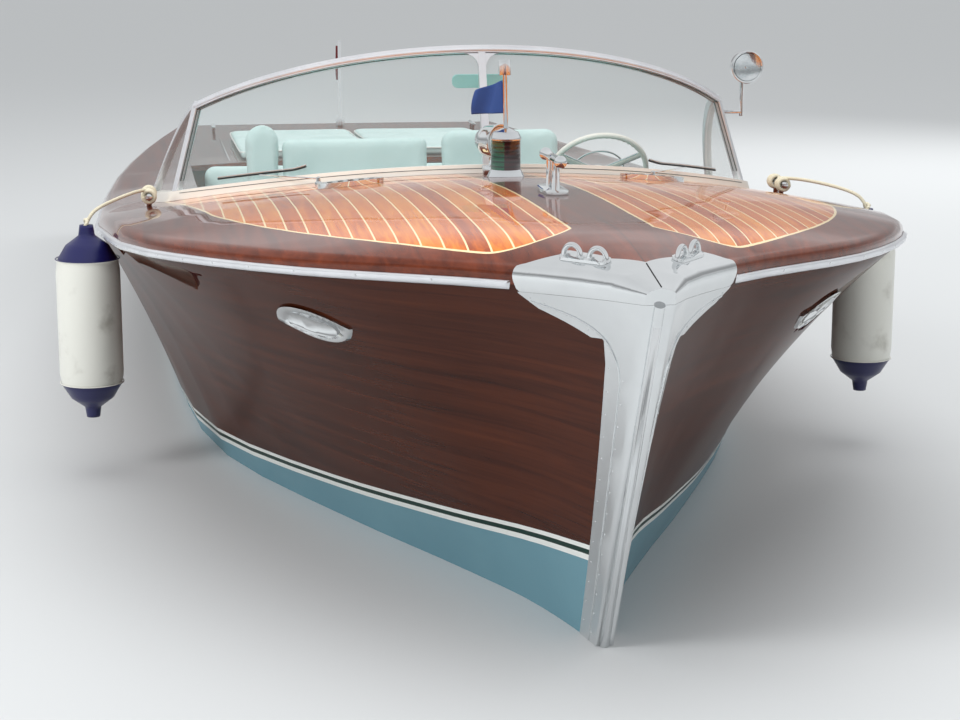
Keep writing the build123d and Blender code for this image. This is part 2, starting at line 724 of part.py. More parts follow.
trim_body = body(SCREEN_TRIM, rows=SCREEN_ROWS)
trim_inside = body(SCREEN_TRIM - FIT, rows=SCREEN_ROWS)
frame_half = SCREEN_FRAME / 2
glass_half = SCREEN_GLASS / 2
post_half = SCREEN_POST / 2
PANES = [sorted((side * SCREEN_POST / 2, side * (SCREEN_POST_TURN - post_half))) for side in (1, -1)]
wing_outer, wing_inner = wing_region(0, 0), wing_region(SCREEN_RAIL, -SCREEN_FRAME)
wing_light = wing_region(SCREEN_RAIL + FIT, -SCREEN_FRAME - FIT)

with BuildPart() as frame:
    add(cone_shell(-frame_half, frame_half, SCREEN_POST_TURN + post_half))
    add(under_top(0), mode=Mode.INTERSECT)
    for low, high in PANES:
        add(wedge(low, high) & under_top(SCREEN_RAIL), mode=Mode.SUBTRACT)
    for word, side in SIDES:
        wing = side_slab(-3000, 3000, side, 100, 3000, 0, 3000) & wing_outer
        add((wing & wing_plate(side, -frame_half, frame_half)) - wing_inner)
    add(trim_body, mode=Mode.SUBTRACT)
keep("windscreen_frame", frame.part)

with BuildPart() as glass:
    slack = FIT / SCREEN_R * 57.3
    for low, high in PANES:
        pane = cone_shell(-glass_half, glass_half, SCREEN_POST_TURN) & wedge(low + slack, high - slack)
        add((pane & under_top(SCREEN_RAIL + FIT)) - trim_body)
    for word, side in SIDES:
        light = side_slab(-3000, 3000, side, 100, 3000, 0, 3000) & wing_light
        add((light & wing_plate(side, -glass_half, glass_half)) - trim_body)
keep("windscreen_glass", glass.part)

TRIM_IN, TRIM_OUT = 19, 27
with BuildPart() as trim:
    add(cone_shell(-TRIM_IN, TRIM_OUT, SCREEN_POST_TURN + post_half))
    for word, side in SIDES:
        foot = side_slab(WING_TAIL[0] - 90, wing_foot.X, side, 100, 3000, WING_TAIL[2] - 40, 3000)
        add(foot & wing_plate(side, -TRIM_IN, TRIM_OUT))
    add(trim_inside, mode=Mode.INTERSECT)
    add(screen_clear, mode=Mode.SUBTRACT)
keep("windscreen_trim", trim.part)

# Wipers: a curved blade low in front of each pane, with its arm's boss at the inner end
WIPER_TURNS = ((29, 48), (-48, -30))
WIPER_GAP, WIPER_DEEP, WIPER_TALL = 2, 8, 16
BOSS_R, BOSS_TALL, BOSS_LOW_Z = 9, 24, 960
wiper_low = body(SCREEN_TRIM + FIT, rows=SCREEN_ROWS)
wiper_high = body(SCREEN_TRIM + WIPER_TALL, rows=SCREEN_ROWS)
boss_high = body(SCREEN_TRIM + BOSS_TALL, rows=SCREEN_ROWS)
with BuildPart() as wipers:
    for low, high in WIPER_TURNS:
        near = frame_half + WIPER_GAP
        bar = cone_shell(near, near + WIPER_DEEP, SCREEN_POST_TURN) & wedge(low, high)
        boss_turn = radians(min(low, high, key=abs))
        boss_reach = screen_r(BOSS_LOW_Z) + near + WIPER_DEEP / 2
        with BuildPart(mode=Mode.PRIVATE) as boss:
            with BuildSketch(Plane.XY.offset(700)):
                with Locations((COCKPIT_CENTRE + boss_reach * cos(boss_turn), boss_reach * sin(boss_turn))):
                    Circle(BOSS_R)
            extrude(amount=600)
        add(((bar & wiper_high) + (boss.part & boss_high)) - wiper_low)
keep("wipers", wipers.part)

# Mirror on a stem behind the centre post
MIRROR = (187, 45, 22)
MIRROR_AT = (1525, 1280)
with BuildPart() as mirror:
    mirror_wide, mirror_tall, mirror_deep = MIRROR
    with BuildSketch(Plane.YZ.offset(MIRROR_AT[0] - mirror_deep / 2)):
        with Locations((0, MIRROR_AT[1])):
            RectangleRounded(mirror_wide, mirror_tall, 18)
    extrude(amount=mirror_deep)
    with BuildSketch(Plane.YZ.offset(MIRROR_AT[0])):
        with Locations((0, MIRROR_AT[1])):
            Circle(6)
    extrude(amount=90)
    add(cone_shell(-frame_half - FIT, 400, 30), mode=Mode.SUBTRACT)
keep("mirror", mirror.part)

# Seats: upholstered boxes with cushions, and leaning backs with rounded tops
# y_low, y_high, top of the back, rounding of its corners
FRONT_BACKS = ((-730, -582, 978, 70), (-610, 40, 922, 30), (90, 600, 950, 55))
FRONT_BASES = ((-715, 40), (90, 600))
FRONT_BASE = ((430, 0), (480, 210), (-60, 210), (-60, 0))
FRONT_CUSHION = ((500, 210), (515, 300), (480, 330), (30, 300), (10, 210))
FRONT_SEAT_JOINT = ((-60, 150), (60, 150), (60, 290), (-60, 290))
BACK_X, BACK_THICK, BACK_LEAN = -60, 95, 9
REAR_BASE = ((-1010, 0), (-960, 210), (-1520, 210), (-1560, 0))
REAR_CUSHION = ((-940, 210), (-925, 300), (-960, 330), (-1380, 300), (-1400, 210))
REAR_BACK = ((-1400, 210), (-1375, 300), (-1440, 770), (-1470, 790), (-1530, 770), (-1500, 210))
REAR_HALF = 880


def seat(profile, y_low, y_high):
    """A block across the boat over a side outline that starts at the sole."""
    with BuildPart() as block:
        with BuildSketch(Plane.XZ.offset(-y_low)):
            with BuildLine():
                Polyline(*[(x, z + SOLE_Z + FIT) for x, z in profile], close=True)
            make_face()
        extrude(amount=y_low - y_high)
    return block.part


with BuildPart() as front_seats:
    for low, high in FRONT_BASES:
        add(seat(FRONT_BASE, low, high))
        add(seat(FRONT_CUSHION, low, high))
        add(seat(FRONT_SEAT_JOINT, low, high))
    for low, high, z_top, rounding in FRONT_BACKS:
        lean = radians(BACK_LEAN)
        foot_z = SOLE_Z + 200
        tall = (z_top - foot_z) / cos(lean)
        rest_foot = (BACK_X, (low + high) / 2, foot_z)
        rest = Plane(origin=rest_foot, x_dir=(0, 1, 0), z_dir=(cos(lean), 0, sin(lean)))
        with BuildSketch(rest):
            with Locations((0, tall / 2)):
                RectangleRounded(high - low, tall, rounding)
        extrude(amount=BACK_THICK)
keep("front_seats", front_seats.part)
with BuildPart() as rear_seat:
    for profile in (REAR_BASE, REAR_CUSHION, REAR_BACK):
        add(seat(profile, -REAR_HALF, REAR_HALF))
    add(inner_clear, mode=Mode.INTERSECT)
keep("rear_seat", rear_seat.part)

# Engines on their beds
with BuildPart() as engines:
    for word, side in SIDES:
        wide = ENGINE_WIDE / 2
        add(side_slab(ENGINE_AFT_X, ENGINE_AFT_X + ENGINE_LONG, side, ENGINE_Y - wide, ENGINE_Y + wide,
                      ENGINE_BOTTOM_Z, ENGINE_BOTTOM_Z + ENGINE_TALL))
keep("engines", engines.part)
with BuildPart() as beds:
    for word, side in SIDES:
        for shift in (-200, 200):
            middle = ENGINE_Y + shift
            bed = side_slab(ENGINE_AFT_X - 60, BAY[1] - 100, side, middle - BED_THICK / 2,
                            middle + BED_THICK / 2, -1000, ENGINE_BOTTOM_Z - FIT)
            add(bed & inner_clear)
keep("engine_beds", beds.part)

# Running gear
with BuildPart() as brackets:
    for word, side in SIDES:
        with BuildSketch(shaft_plane(side, LOG_FORE[0])):
            Circle(LOG_R)
            Circle(SHAFT_R + BEARING, mode=Mode.SUBTRACT)
        extrude(amount=LOG_FORE[1] - LOG_FORE[0])
        with BuildPart(mode=Mode.PRIVATE) as strut:
            middle = shaft_plane(side, BRACKET_FORE)
            with BuildSketch(Plane.XY.offset(middle.origin.Z)):
                with Locations((middle.origin.X, side * ENGINE_Y)):
                    Ellipse(40, 8)
            extrude(amount=400)
            with BuildSketch(shaft_plane(side, BRACKET_FORE - 45)):
                Circle(30)
            extrude(amount=90)
            with BuildSketch(shaft_plane(side, 0)):
                Circle(SHAFT_R + BEARING)
            extrude(amount=400, mode=Mode.SUBTRACT)
            add(outer_clear, mode=Mode.SUBTRACT)
        add(strut.part)

    for word, side in SIDES:
        with BuildPart(mode=Mode.PRIVATE) as bearing:
            with BuildSketch(Plane.XY.offset(RUDDER_TOP_Z + 6)):
                with Locations((RUDDER_X, side * ENGINE_Y)):
                    Circle(32)
            extrude(amount=200)
            add(outer_clear, mode=Mode.SUBTRACT)
            with BuildSketch(Plane.XY.offset(RUDDER_TOP_Z)):
                with Locations((RUDDER_X, side * ENGINE_Y)):
                    Circle(RUDDER_STOCK_R + BEARING)
            extrude(amount=300, mode=Mode.SUBTRACT)
        add(bearing.part)
keep("shaft_brackets", brackets.part)


def blade(side, turn):
    """One twisted blade: ellipses of falling pitch, set out along the blade."""
    hub = shaft_plane(side, 0)
    with BuildPart() as one:
        for r, wide, thick, pitch in ((20, 60, 14, 62), (80, 110, 9, 40), (PROP_R, 60, 5, 27)):
            out = hub.y_dir * cos(radians(turn)) + hub.x_dir * sin(radians(turn))
            across = hub.z_dir.cross(out)
            chord = across * cos(radians(pitch)) + hub.z_dir * side * sin(radians(pitch))
            with BuildSketch(Plane(origin=hub.origin + out * r, x_dir=chord, z_dir=out)):
                with BuildLine():
                    ThreePointArc((-wide / 2, 0), (0, thick / 2), (wide / 2, 0))
                    ThreePointArc((wide / 2, 0), (0, -thick / 2), (-wide / 2, 0))
                make_face()
        loft()
    return one.part


for word, side in SIDES:
    with BuildPart() as propeller:
        with BuildSketch(shaft_plane(side, -PROP_HUB / 2)):
            Circle(PROP_HUB_R)
        extrude(amount=PROP_HUB)
        with BuildSketch(shaft_plane(side, 0)):
            Circle(SHAFT_R)
        extrude(amount=SHAFT_FORE)
        for count in range(PROP_BLADES):
            add(blade(side, 360 / PROP_BLADES * count))
    keep("propeller_" + word, propeller.part)


for word, side in SIDES:
    with BuildPart() as rudder:
        for z, scale in ((RUDDER_TOP_Z, 1), (RUDDER_TOP_Z - RUDDER_TALL, 0.78)):
            with BuildSketch(Plane.XY.offset(z)):
                with BuildLine():
                    nose = (RUDDER_X + RUDDER_FORE * scale, side * ENGINE_Y)
                    fat = RUDDER_THICK / 2 * scale
                    wide_port = (RUDDER_X, side * ENGINE_Y + fat)
                    wide_star = (RUDDER_X, side * ENGINE_Y - fat)
                    tail_port = (RUDDER_X - RUDDER_AFT * scale, side * ENGINE_Y + 3)
                    tail_star = (RUDDER_X - RUDDER_AFT * scale, side * ENGINE_Y - 3)
                    ThreePointArc(wide_port, nose, wide_star)
                    Line(wide_star, tail_star)
                    Line(tail_star, tail_port)
                    Line(tail_port, wide_port)
                make_face()
        loft(ruled=True)
        with BuildSketch(Plane.XY.offset(RUDDER_TOP_Z - 20)):
            with Locations((RUDDER_X, side * ENGINE_Y)):
                Circle(RUDDER_STOCK_R)
        extrude(amount=150)
    keep("rudder_" + word, rudder.part)

# Exhaust outlets through the transom
with BuildPart() as exhausts:
    with BuildSketch(Plane.YZ.offset(EXHAUST_END_X)):
        with Locations(*EXHAUSTS):
            Circle(EXHAUST_R)
            Circle(EXHAUST_BORE_R, mode=Mode.SUBTRACT)
    extrude(amount=EXHAUST_LONG)
keep("exhaust_outlets", exhausts.part)

# Helm
wheel_way = Vector(-cos(radians(WHEEL_RAKE)), 0, sin(radians(WHEEL_RAKE)))
wheel_plane = Plane(origin=(WHEEL_X, HELM_Y, WHEEL_Z), x_dir=(0, 1, 0), z_dir=wheel_way)
WHEEL_SPOKES = 3
with BuildPart() as wheel:
    with BuildSketch(Plane(origin=wheel_plane.origin, x_dir=wheel_plane.x_dir, z_dir=-wheel_plane.y_dir)):
        with Locations((WHEEL_R, 0)):
            Circle(WHEEL_RIM_R)
    revolve(axis=Axis(wheel_plane.origin, wheel_way))
    with BuildSketch(wheel_plane.offset(-WHEEL_HUB_IN)):
        Circle(32)
    extrude(amount=35)
    for count in range(WHEEL_SPOKES):
        turn = radians(90 + 120 * count)
        way = wheel_plane.x_dir * cos(turn) + wheel_plane.y_dir * sin(turn)
        with BuildSketch(Plane(origin=wheel_plane.origin, x_dir=wheel_way, z_dir=way)):
            Ellipse(5, 11)
        extrude(amount=WHEEL_R)
keep("steering_wheel", wheel.part)
with BuildPart() as column:
    with BuildSketch(wheel_plane.offset(-WHEEL_HUB_IN - FIT)):
        Circle(22)
    extrude(amount=-420)
    add(slab(-3000, DASH_X - FIT, -2000, 2000, -1000, 2000), mode=Mode.INTERSECT)
keep("steering_column", column.part)

# Fittings on deck. Each stands on the deck, cut to its crown.
BOW_CLEAT_X, BOW_CLEAT_BAR_Z = 2850, 1165
BOW_CLEAT_FOOT, BOW_CLEAT_TOP_Z = (190, 64), 1082
BOW_CLEAT_LEGS, BOW_CLEAT_REACH = 42, 110
with BuildPart() as bow_cleat:
    with BuildSketch(Plane.XY.offset(1000)):
        with Locations((BOW_CLEAT_X, 0)):
            SlotOverall(*BOW_CLEAT_FOOT)
    extrude(amount=BOW_CLEAT_TOP_Z - 1000)
    for shift in (-BOW_CLEAT_LEGS, BOW_CLEAT_LEGS):
        with BuildSketch(Plane.XY.offset(1060)):
            with Locations((BOW_CLEAT_X + shift, 0)):
                Circle(11)
        extrude(amount=BOW_CLEAT_BAR_Z - 1060)
    with BuildSketch(Plane.YZ.offset(BOW_CLEAT_X - BOW_CLEAT_REACH)):
        with Locations((0, BOW_CLEAT_BAR_Z)):
            Circle(13)
    extrude(amount=2 * BOW_CLEAT_REACH)
    for shift in (-BOW_CLEAT_REACH, BOW_CLEAT_REACH):
        with Locations((BOW_CLEAT_X + shift, 0, BOW_CLEAT_BAR_Z)):
            Sphere(18)
    add(outer_clear, mode=Mode.SUBTRACT)
keep("bow_cleat", bow_cleat.part)

CLEATS = ((1330, 1120, 845), (1330, -1120, 845), (-3650, 760, 600), (-3650, -760, 600))
with BuildPart() as cleats:
    for x, y, z in CLEATS:
        with BuildPart(mode=Mode.PRIVATE) as cleat:
            for shift in (-32, 32):
                with BuildSketch(Plane.XY.offset(z - 60)):
                    with Locations((x + shift, y)):
                        Circle(9)
                extrude(amount=105)
            with BuildSketch(Plane.YZ.offset(x - 80)):
                with Locations((y, z + 45)):
                    Circle(11)
            extrude(amount=160)
            add(outer_clear, mode=Mode.SUBTRACT)
        add(cleat.part)
keep("mooring_cleats", cleats.part)

# x, y
VENTS = ((2010, 487), (2010, -487))
VENT = (130, 210)
VENT_SLOTS = (-66, -33, 0, 33, 66)
VENT_SLOT = (78, 17)
VENT_RISE = 16
with BuildPart() as vents:
    with BuildSketch(Plane.XY.offset(800)):
        with Locations(*VENTS):
            Ellipse(VENT[0] / 2, VENT[1] / 2)
            for shift in VENT_SLOTS:
                with Locations((0, shift)):
                    SlotOverall(VENT_SLOT[0] * (1 - abs(shift) / 150), VENT_SLOT[1], mode=Mode.SUBTRACT)
    extrude(amount=400)
    add(body(VENT_RISE, rows=SCREEN_ROWS), mode=Mode.INTERSECT)
    add(screen_clear, mode=Mode.SUBTRACT)
keep("deck_vents", vents.part)

# Almond-shaped scoops in the topsides, dished in the middle
SCOOP_X, SCOOP_Z = 3110, 763
# half length, half height, tilt of the ends
SCOOP_RIM, SCOOP_BOWL = (135, 48, 10), (108, 34, 8)
SCOOP_OUT, SCOOP_FLOOR = 10, 3


def almond(half_long, half_tall, tilt):
    with BuildPart() as prism:
        with BuildSketch(Plane.XZ):
            with BuildLine():
                aft, fore = (SCOOP_X - half_long, SCOOP_Z - tilt), (SCOOP_X + half_long, SCOOP_Z + tilt)
                ThreePointArc(aft, (SCOOP_X, SCOOP_Z + half_tall), fore)
                ThreePointArc(fore, (SCOOP_X, SCOOP_Z - half_tall), aft)
            make_face()
        extrude(amount=1500, both=True)
    return prism.part


with BuildPart() as scoops:
    add(body(SCOOP_OUT, rows=SCOOP_ROWS))
    add(almond(*SCOOP_RIM), mode=Mode.INTERSECT)
    add(body(FIT, rows=SCOOP_ROWS), mode=Mode.SUBTRACT)
    add(almond(*SCOOP_BOWL) - body(SCOOP_FLOOR, rows=SCOOP_ROWS), mode=Mode.SUBTRACT)
keep("hull_scoops", scoops.part)

LIGHT_X = 2060
# Outline from the deck up: radius, height
LIGHT = ((0, 900), (62, 900), (60, 1020), (50, 1040), (47, 1042), (47, 1135), (50, 1140), (40, 1160),
         (12, 1172), (0, 1172))
STAFF_LEAN = 8
with BuildPart() as bow_light:
    with BuildSketch(Plane(origin=(LIGHT_X, 0, 0), x_dir=(1, 0, 0), z_dir=(0, -1, 0))):
        with BuildLine():
            Polyline(*LIGHT, close=True)
        make_face()
    revolve(axis=Axis((LIGHT_X, 0, 0), (0, 0, 1)))
    add(outer_clear, mode=Mode.SUBTRACT)
keep("bow_light", bow_light.part)

staff_way = Vector(-sin(radians(STAFF_LEAN)), 0, cos(radians(STAFF_LEAN)))
staff_foot = Plane(origin=(LIGHT_X, 0, 1172 + FIT), x_dir=(0, 1, 0), z_dir=staff_way)
with BuildPart() as bow_staff:
    with BuildSketch(staff_foot):
        Circle(7)
    extrude(amount=170)
    with BuildSketch(staff_foot.offset(165)):
        Circle(19)
    extrude(amount=48)
    add(slab(0, 5000, -200, 200, 1172 + FIT, 3000), mode=Mode.INTERSECT)
keep("bow_staff", bow_staff.part)

# Pennant, blown aft and to starboard: its corners by their distance aft of the hoist's foot, and height
PENNANT = ((13, 1325), (150, 1280), (162, 1200), (0, 1215))
PENNANT_FOOT_X, PENNANT_TURN, CLOTH_THICK = 2046, 30, 2
with BuildPart() as pennant:
    fly = Vector(-cos(radians(PENNANT_TURN)), -sin(radians(PENNANT_TURN)), 0)
    with BuildSketch(Plane(origin=(PENNANT_FOOT_X, 0, 0), x_dir=fly, z_dir=fly.cross(Vector(0, 0, 1)))):
        with BuildLine():
            Polyline(*PENNANT, close=True)
        make_face()
    extrude(amount=CLOTH_THICK / 2, both=True)
    add(slab(0, 5000, -200, 200, 0, 3000), mode=Mode.INTERSECT)
    with BuildSketch(staff_foot):
        Circle(7.3)
    extrude(amount=170, mode=Mode.SUBTRACT)
keep("bow_pennant", pennant.part)

# Searchlight on the deck, turned to port, and the spotlight on the port corner post
# The bowl's outline along its axis: place ahead of the middle, radius
BOWL = ((-62, 0), (-60, 16), (-46, 38), (-20, 52), (18, 57), (34, 60), (36, 53), (30, 50), (26, 0))
SEARCH_X, SEARCH_Z, SEARCH_TURN = 1800, 1105, 35
SPOT_AT, SPOT_STEM, SPOT_ARM_Z = (1098, 1050, 1290), 7, 1125


def lamp_bowl(x, y, z, turn):
    ahead = Vector(cos(radians(turn)), sin(radians(turn)), 0)
    with BuildPart() as bowl:
        with BuildSketch(Plane(origin=(x, y, z), x_dir=ahead, z_dir=(-ahead.Y, ahead.X, 0))):
            with BuildLine():
                Polyline(*BOWL, close=True)
            make_face()
        revolve(axis=Axis((x, y, z), ahead))
    return bowl.part


with BuildPart() as searchlight:
    with BuildPart(mode=Mode.PRIVATE) as post:
        with BuildSketch(Plane.XY.offset(900)):
            with Locations((SEARCH_X, 0)):
                Circle(34)
        extrude(amount=124)
        with BuildSketch(Plane.XY.offset(1000)):
            with Locations((SEARCH_X, 0)):
                Circle(13)
        extrude(amount=SEARCH_Z - 1000)
        add(lamp_bowl(SEARCH_X, 0, SEARCH_Z, SEARCH_TURN))
        add(outer_clear, mode=Mode.SUBTRACT)
    add(post.part)
    spot_x, spot_y, spot_z = SPOT_AT
    arm_y = post_point(SPOT_ARM_Z).Y + frame_half
    with BuildPart(mode=Mode.PRIVATE) as spot:
        add(lamp_bowl(*SPOT_AT, 0))
        with BuildSketch(Plane.XY.offset(SPOT_ARM_Z - 15)):
            with Locations((spot_x, spot_y - 10)):
                Circle(SPOT_STEM)
        extrude(amount=spot_z - SPOT_ARM_Z - 20)
        with BuildSketch(Plane.XZ.offset(-arm_y + 30)):
            with Locations((spot_x, SPOT_ARM_Z)):
                Circle(SPOT_STEM - 1)
        extrude(amount=arm_y - 30 - spot_y + 5)
        add(cone_shell(-200, frame_half + FIT, SCREEN_POST_TURN + post_half), mode=Mode.SUBTRACT)
        add(wing_plate(1, -600, frame_half + FIT), mode=Mode.SUBTRACT)
    add(spot.part)
keep("searchlight", searchlight.part)

# Fenders hung over each side, and their lanyards
FENDER_X, FENDER_Y, FENDER_Z = 1700, 1323, 202
# Outline from the foot up: radius, height
FENDER = ((0, 0), (22, 0), (27, 34), (70, 66), (98, 112), (104, 150), (104, 490), (98, 528),
          (70, 574), (27, 606), (22, 640), (0, 640))
for word, side in SIDES:
    middle = Plane(origin=(FENDER_X, side * FENDER_Y, 0), x_dir=(1, 0, 0), z_dir=(0, -1, 0))
    with BuildPart() as fender:
        with BuildSketch(middle):
            with BuildLine():
                Polyline(*[(radius, FENDER_Z + z) for radius, z in FENDER], close=True)
            make_face()
        revolve(axis=Axis(middle.origin, (0, 0, 1)))
    keep("fender_" + word, fender.part)

LANYARD_D = 12
LANYARD = ((1700, 1323, 843.5), (1697, 1310, 874), (1678, 1280, 896), (1620, 1232, 911), (1530, 1188, 917),
           (1420, 1148, 916), (1330, 1120, 907.3))
for word, side in SIDES:
    with BuildPart() as lanyard:
        with BuildLine():
            route = [Vector(x, side * y, z) for x, y, z in LANYARD]
            radii = []
            for a, b, c in zip(route, route[1:], route[2:]):
                turn = radians((b - a).get_angle(c - b))
                radii.append(0.45 * min((b - a).length, (c - b).length) / tan(turn / 2))
            path = FilletPolyline(*route, radius=radii)
        with BuildSketch(Plane(origin=route[0], z_dir=route[1] - route[0])):
            Circle(LANYARD_D / 2)
        sweep(path=path)
    keep("lanyard_" + word, lanyard.part)

# Stern staff and ensign
STERN_STAFF_X, STERN_STAFF_R, STERN_SOCKET_R = -3900, 9, 26
ENSIGN_WIDE, ENSIGN_TALL, ENSIGN_Z = 180, 220, 980
with BuildPart() as stern_staff:
    with BuildSketch(Plane.XY.offset(500)):
        with Locations((STERN_STAFF_X, 0)):
            Circle(STERN_SOCKET_R)
    extrude(amount=160)
    with BuildSketch(Plane.XY.offset(600)):
        with Locations((STERN_STAFF_X, 0)):
            Circle(STERN_STAFF_R)
    extrude(amount=520)
    add(outer_clear, mode=Mode.SUBTRACT)
keep("stern_staff", stern_staff.part)
with BuildPart() as ensign:
    with BuildSketch(Plane.XZ):
        with Locations((STERN_STAFF_X - STERN_STAFF_R - FIT - ENSIGN_WIDE / 2, ENSIGN_Z)):
            Rectangle(ENSIGN_WIDE, ENSIGN_TALL)
    extrude(amount=CLOTH_THICK / 2, both=True)
keep("stern_ensign", ensign.part)

print("pieces", len(parts))
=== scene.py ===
import json
from math import cos, pi, radians, sin, tau

import bmesh
import bpy
from mathutils import Matrix, Vector
from mathutils.bvhtree import BVHTree


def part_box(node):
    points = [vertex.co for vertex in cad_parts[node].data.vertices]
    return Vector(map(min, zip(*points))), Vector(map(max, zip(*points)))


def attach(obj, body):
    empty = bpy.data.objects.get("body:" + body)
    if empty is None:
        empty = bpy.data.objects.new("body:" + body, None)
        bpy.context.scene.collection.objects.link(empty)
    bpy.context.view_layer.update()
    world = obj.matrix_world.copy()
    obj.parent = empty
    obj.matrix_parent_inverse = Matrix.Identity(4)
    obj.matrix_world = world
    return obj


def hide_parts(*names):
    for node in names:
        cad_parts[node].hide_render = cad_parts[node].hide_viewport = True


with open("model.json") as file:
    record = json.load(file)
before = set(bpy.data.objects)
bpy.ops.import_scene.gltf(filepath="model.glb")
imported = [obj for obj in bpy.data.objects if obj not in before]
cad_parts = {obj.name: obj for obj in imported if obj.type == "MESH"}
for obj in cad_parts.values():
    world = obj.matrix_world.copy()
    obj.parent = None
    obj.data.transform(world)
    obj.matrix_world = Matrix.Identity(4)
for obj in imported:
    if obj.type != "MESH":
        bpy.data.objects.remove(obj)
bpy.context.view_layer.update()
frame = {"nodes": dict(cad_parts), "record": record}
nodes = frame["nodes"]
record = frame["record"]
BODY_OF = {name: body for body, names in record["behaviour"]["bodies"].items() for name in names}
SLOT_OF = {piece["node"]: piece["material_slot"] for piece in record["subparts"]}
SIDES = (("port", 1), ("starboard", -1))
UP = Vector((0, 0, 1))

# Camera, where the photographer stood, in the boat's frame
EYE = Vector((8.494, -1.086, 1.804))
YAW, PITCH, ROLL = -0.15484, 0.20825, 0.0007
LENS, SENSOR = 77.56, 36.0

# Floor: reach, colour, and the hull's opening in it, from the stem aft, as x and half breadth
FLOOR_WIDE, FLOOR_GREY = 60, (0.62, 0.635, 0.64, 1)
HULL_AT_WATER = ((3.566, 0.006), (3.417, 0.045), (3.27, 0.088), (3.087, 0.16), (2.911, 0.242),
                 (2.651, 0.37), (2.362, 0.51), (2.092, 0.636), (1.801, 0.764), (1.503, 0.868),
                 (1.113, 0.947), (0.712, 0.987), (0.3, 1.015), (-0.543, 1.041), (-1.4, 1.033),
                 (-2.108, 1.019), (-2.808, 0.986), (-3.429, 0.938), (-4.0, 0.878))

# The rail's middle along the side: x, height
RAIL = ((4.1, 0.993), (3.75, 0.97), (3.3, 0.94), (2.6, 0.886), (1.6, 0.796), (0.3, 0.653),
        (-1.4, 0.583), (-2.82, 0.556), (-4.1, 0.553))

# Windscreen: part of a cone about an upright line, with its posts' turns and half width in degrees
CENTRE_X = 0.507
SCREEN_R, SCREEN_BASE_Z, SCREEN_SLOPE = 1.173, 1.0, 0.32
SCREEN_TOP_X, SCREEN_TOP_Z, SCREEN_TOP_FALL = 1.536, 1.391, 0.484
SCREEN_RAIL, SCREEN_FRAME, POST_TURN, POST_HALF = 0.028, 0.026, 57.5, 0.65

# Leaf-shaped inlays of the foredeck
LEAF_INNER, LEAF_SCREEN = 0.100, 1.225
# The leaf's outer edge: a circle ahead of a place, a straight line aft of it, and a round nose
LEAF_ARC, LEAF_SWITCH = (2.095, -1.268, 2.226), (2.27, 0.951, 0.104)
LEAF_NOSE, LEAF_TOUCH = (3.55, 0.225, 0.1412), (0.698, 0.716)
# Its planks, the share of each that is seam, and the pale edge
PLANK_WIDE, PLANK_SEAM, LEAF_EDGE = 0.05, 0.09, 0.007
# Joints across the deck, their half width, and that of the centre seam
JOINT_FROM, JOINT_EVERY, JOINT_HALF, CENTRE_HALF = 0.35, 1.9, 0.0006, 0.0012
# The side's planks, and how much they rise towards the bow
SIDE_PLANK, SIDE_RISE = 0.148, 0.05


def operator(operation):
    return lambda self, other: self.sum(operation, other)


class Field:
    """Shader arithmetic: a socket whose sums add nodes."""

    def __init__(self, finish, socket):
        self.finish = finish
        self.socket = socket

    def sum(self, operation, *others):
        values = dict(enumerate([self, *others]))
        return self.finish.node("Math", {"operation": operation}, values)

    __add__ = __radd__ = operator("ADD")
    __mul__ = __rmul__ = operator("MULTIPLY")
    __sub__ = operator("SUBTRACT")
    __truediv__ = operator("DIVIDE")
    __lt__ = operator("LESS_THAN")
    __gt__ = operator("GREATER_THAN")
    either = operator("MAXIMUM")
    lesser = operator("MINIMUM")

    def __rsub__(self, other):
        return (self * -1) + other

    def size(self):
        return self.sum("ABSOLUTE")

    def part(self, period):
        """How far into its period the value is, from 0 to 1."""
        return (self / period).sum("FRACT")

    def rise(self, low, high):
        """0 below low, 1 above high, and smooth between."""
        return self.finish.node("MapRange", {"interpolation_type": "SMOOTHSTEP"},
                                {"Value": self, "From Min": low, "From Max": high})


def set_stops(ramp, stops):
    while len(ramp.elements) < len(stops):
        ramp.elements.new(0.5)
    for element, (at, colour) in zip(ramp.elements, stops):
        element.position = at
        element.color = (*colour, 1)


class Finish:
    """One material and the fields that its pattern is made of."""

    def __init__(self, name):
        self.material = bpy.data.materials.new(name)
        self.material.use_nodes = True
        self.tree = self.material.node_tree
        self.shader = self.tree.nodes["Principled BSDF"]
        self.place = self.node("TexCoord", {}, {}, "Object")
        apart = self.tree.nodes.new("ShaderNodeSeparateXYZ")
        self.tree.links.new(self.place.socket, apart.inputs[0])
        self.x, self.y, self.z = (Field(self, out) for out in apart.outputs)

    def node(self, kind, settings, values, output=0):
        made = self.tree.nodes.new("ShaderNode" + kind)
        for key, value in settings.items():
            if key == "stops":
                set_stops(made.color_ramp, value)
            else:
                setattr(made, key, value)
        self.feed(made.inputs, values)
        return Field(self, made.outputs[output])

    def feed(self, inputs, values):
        for key, value in values.items():
            if isinstance(value, Field):
                self.tree.links.new(value.socket, inputs[key])
            else:
                inputs[key].default_value = value

    def stretched(self, scale):
        return self.node("Mapping", {}, {"Vector": self.place, "Scale": scale})

    def noise(self, scale, detail=3, rough=0.5, at=None, warp=0):
        return self.node("TexNoise", {}, {
            "Vector": at or self.place, "Scale": scale, "Detail": detail, "Roughness": rough,
            "Distortion": warp})

    def ramp(self, field, *stops):
        return self.node("ValToRGB", {"stops": stops}, {"Fac": field})

    def blend(self, first, second, share):
        return self.node("Mix", {"data_type": "RGBA"}, {
            0: share, 6: self.colour(first), 7: self.colour(second)}, 2)

    def colour(self, value):
        return value if isinstance(value, Field) else (*value, 1)

    def dents(self, height, deep, strength=1.0):
        return self.node("Bump", {}, {"Height": height, "Distance": deep, "Strength": strength})

    def reach(self, x, y):
        return (x * x + y * y).sum("SQRT")

    def set(self, **values):
        self.feed(self.shader.inputs, {key.replace("_", " "): value for key, value in values.items()})
        return self.material


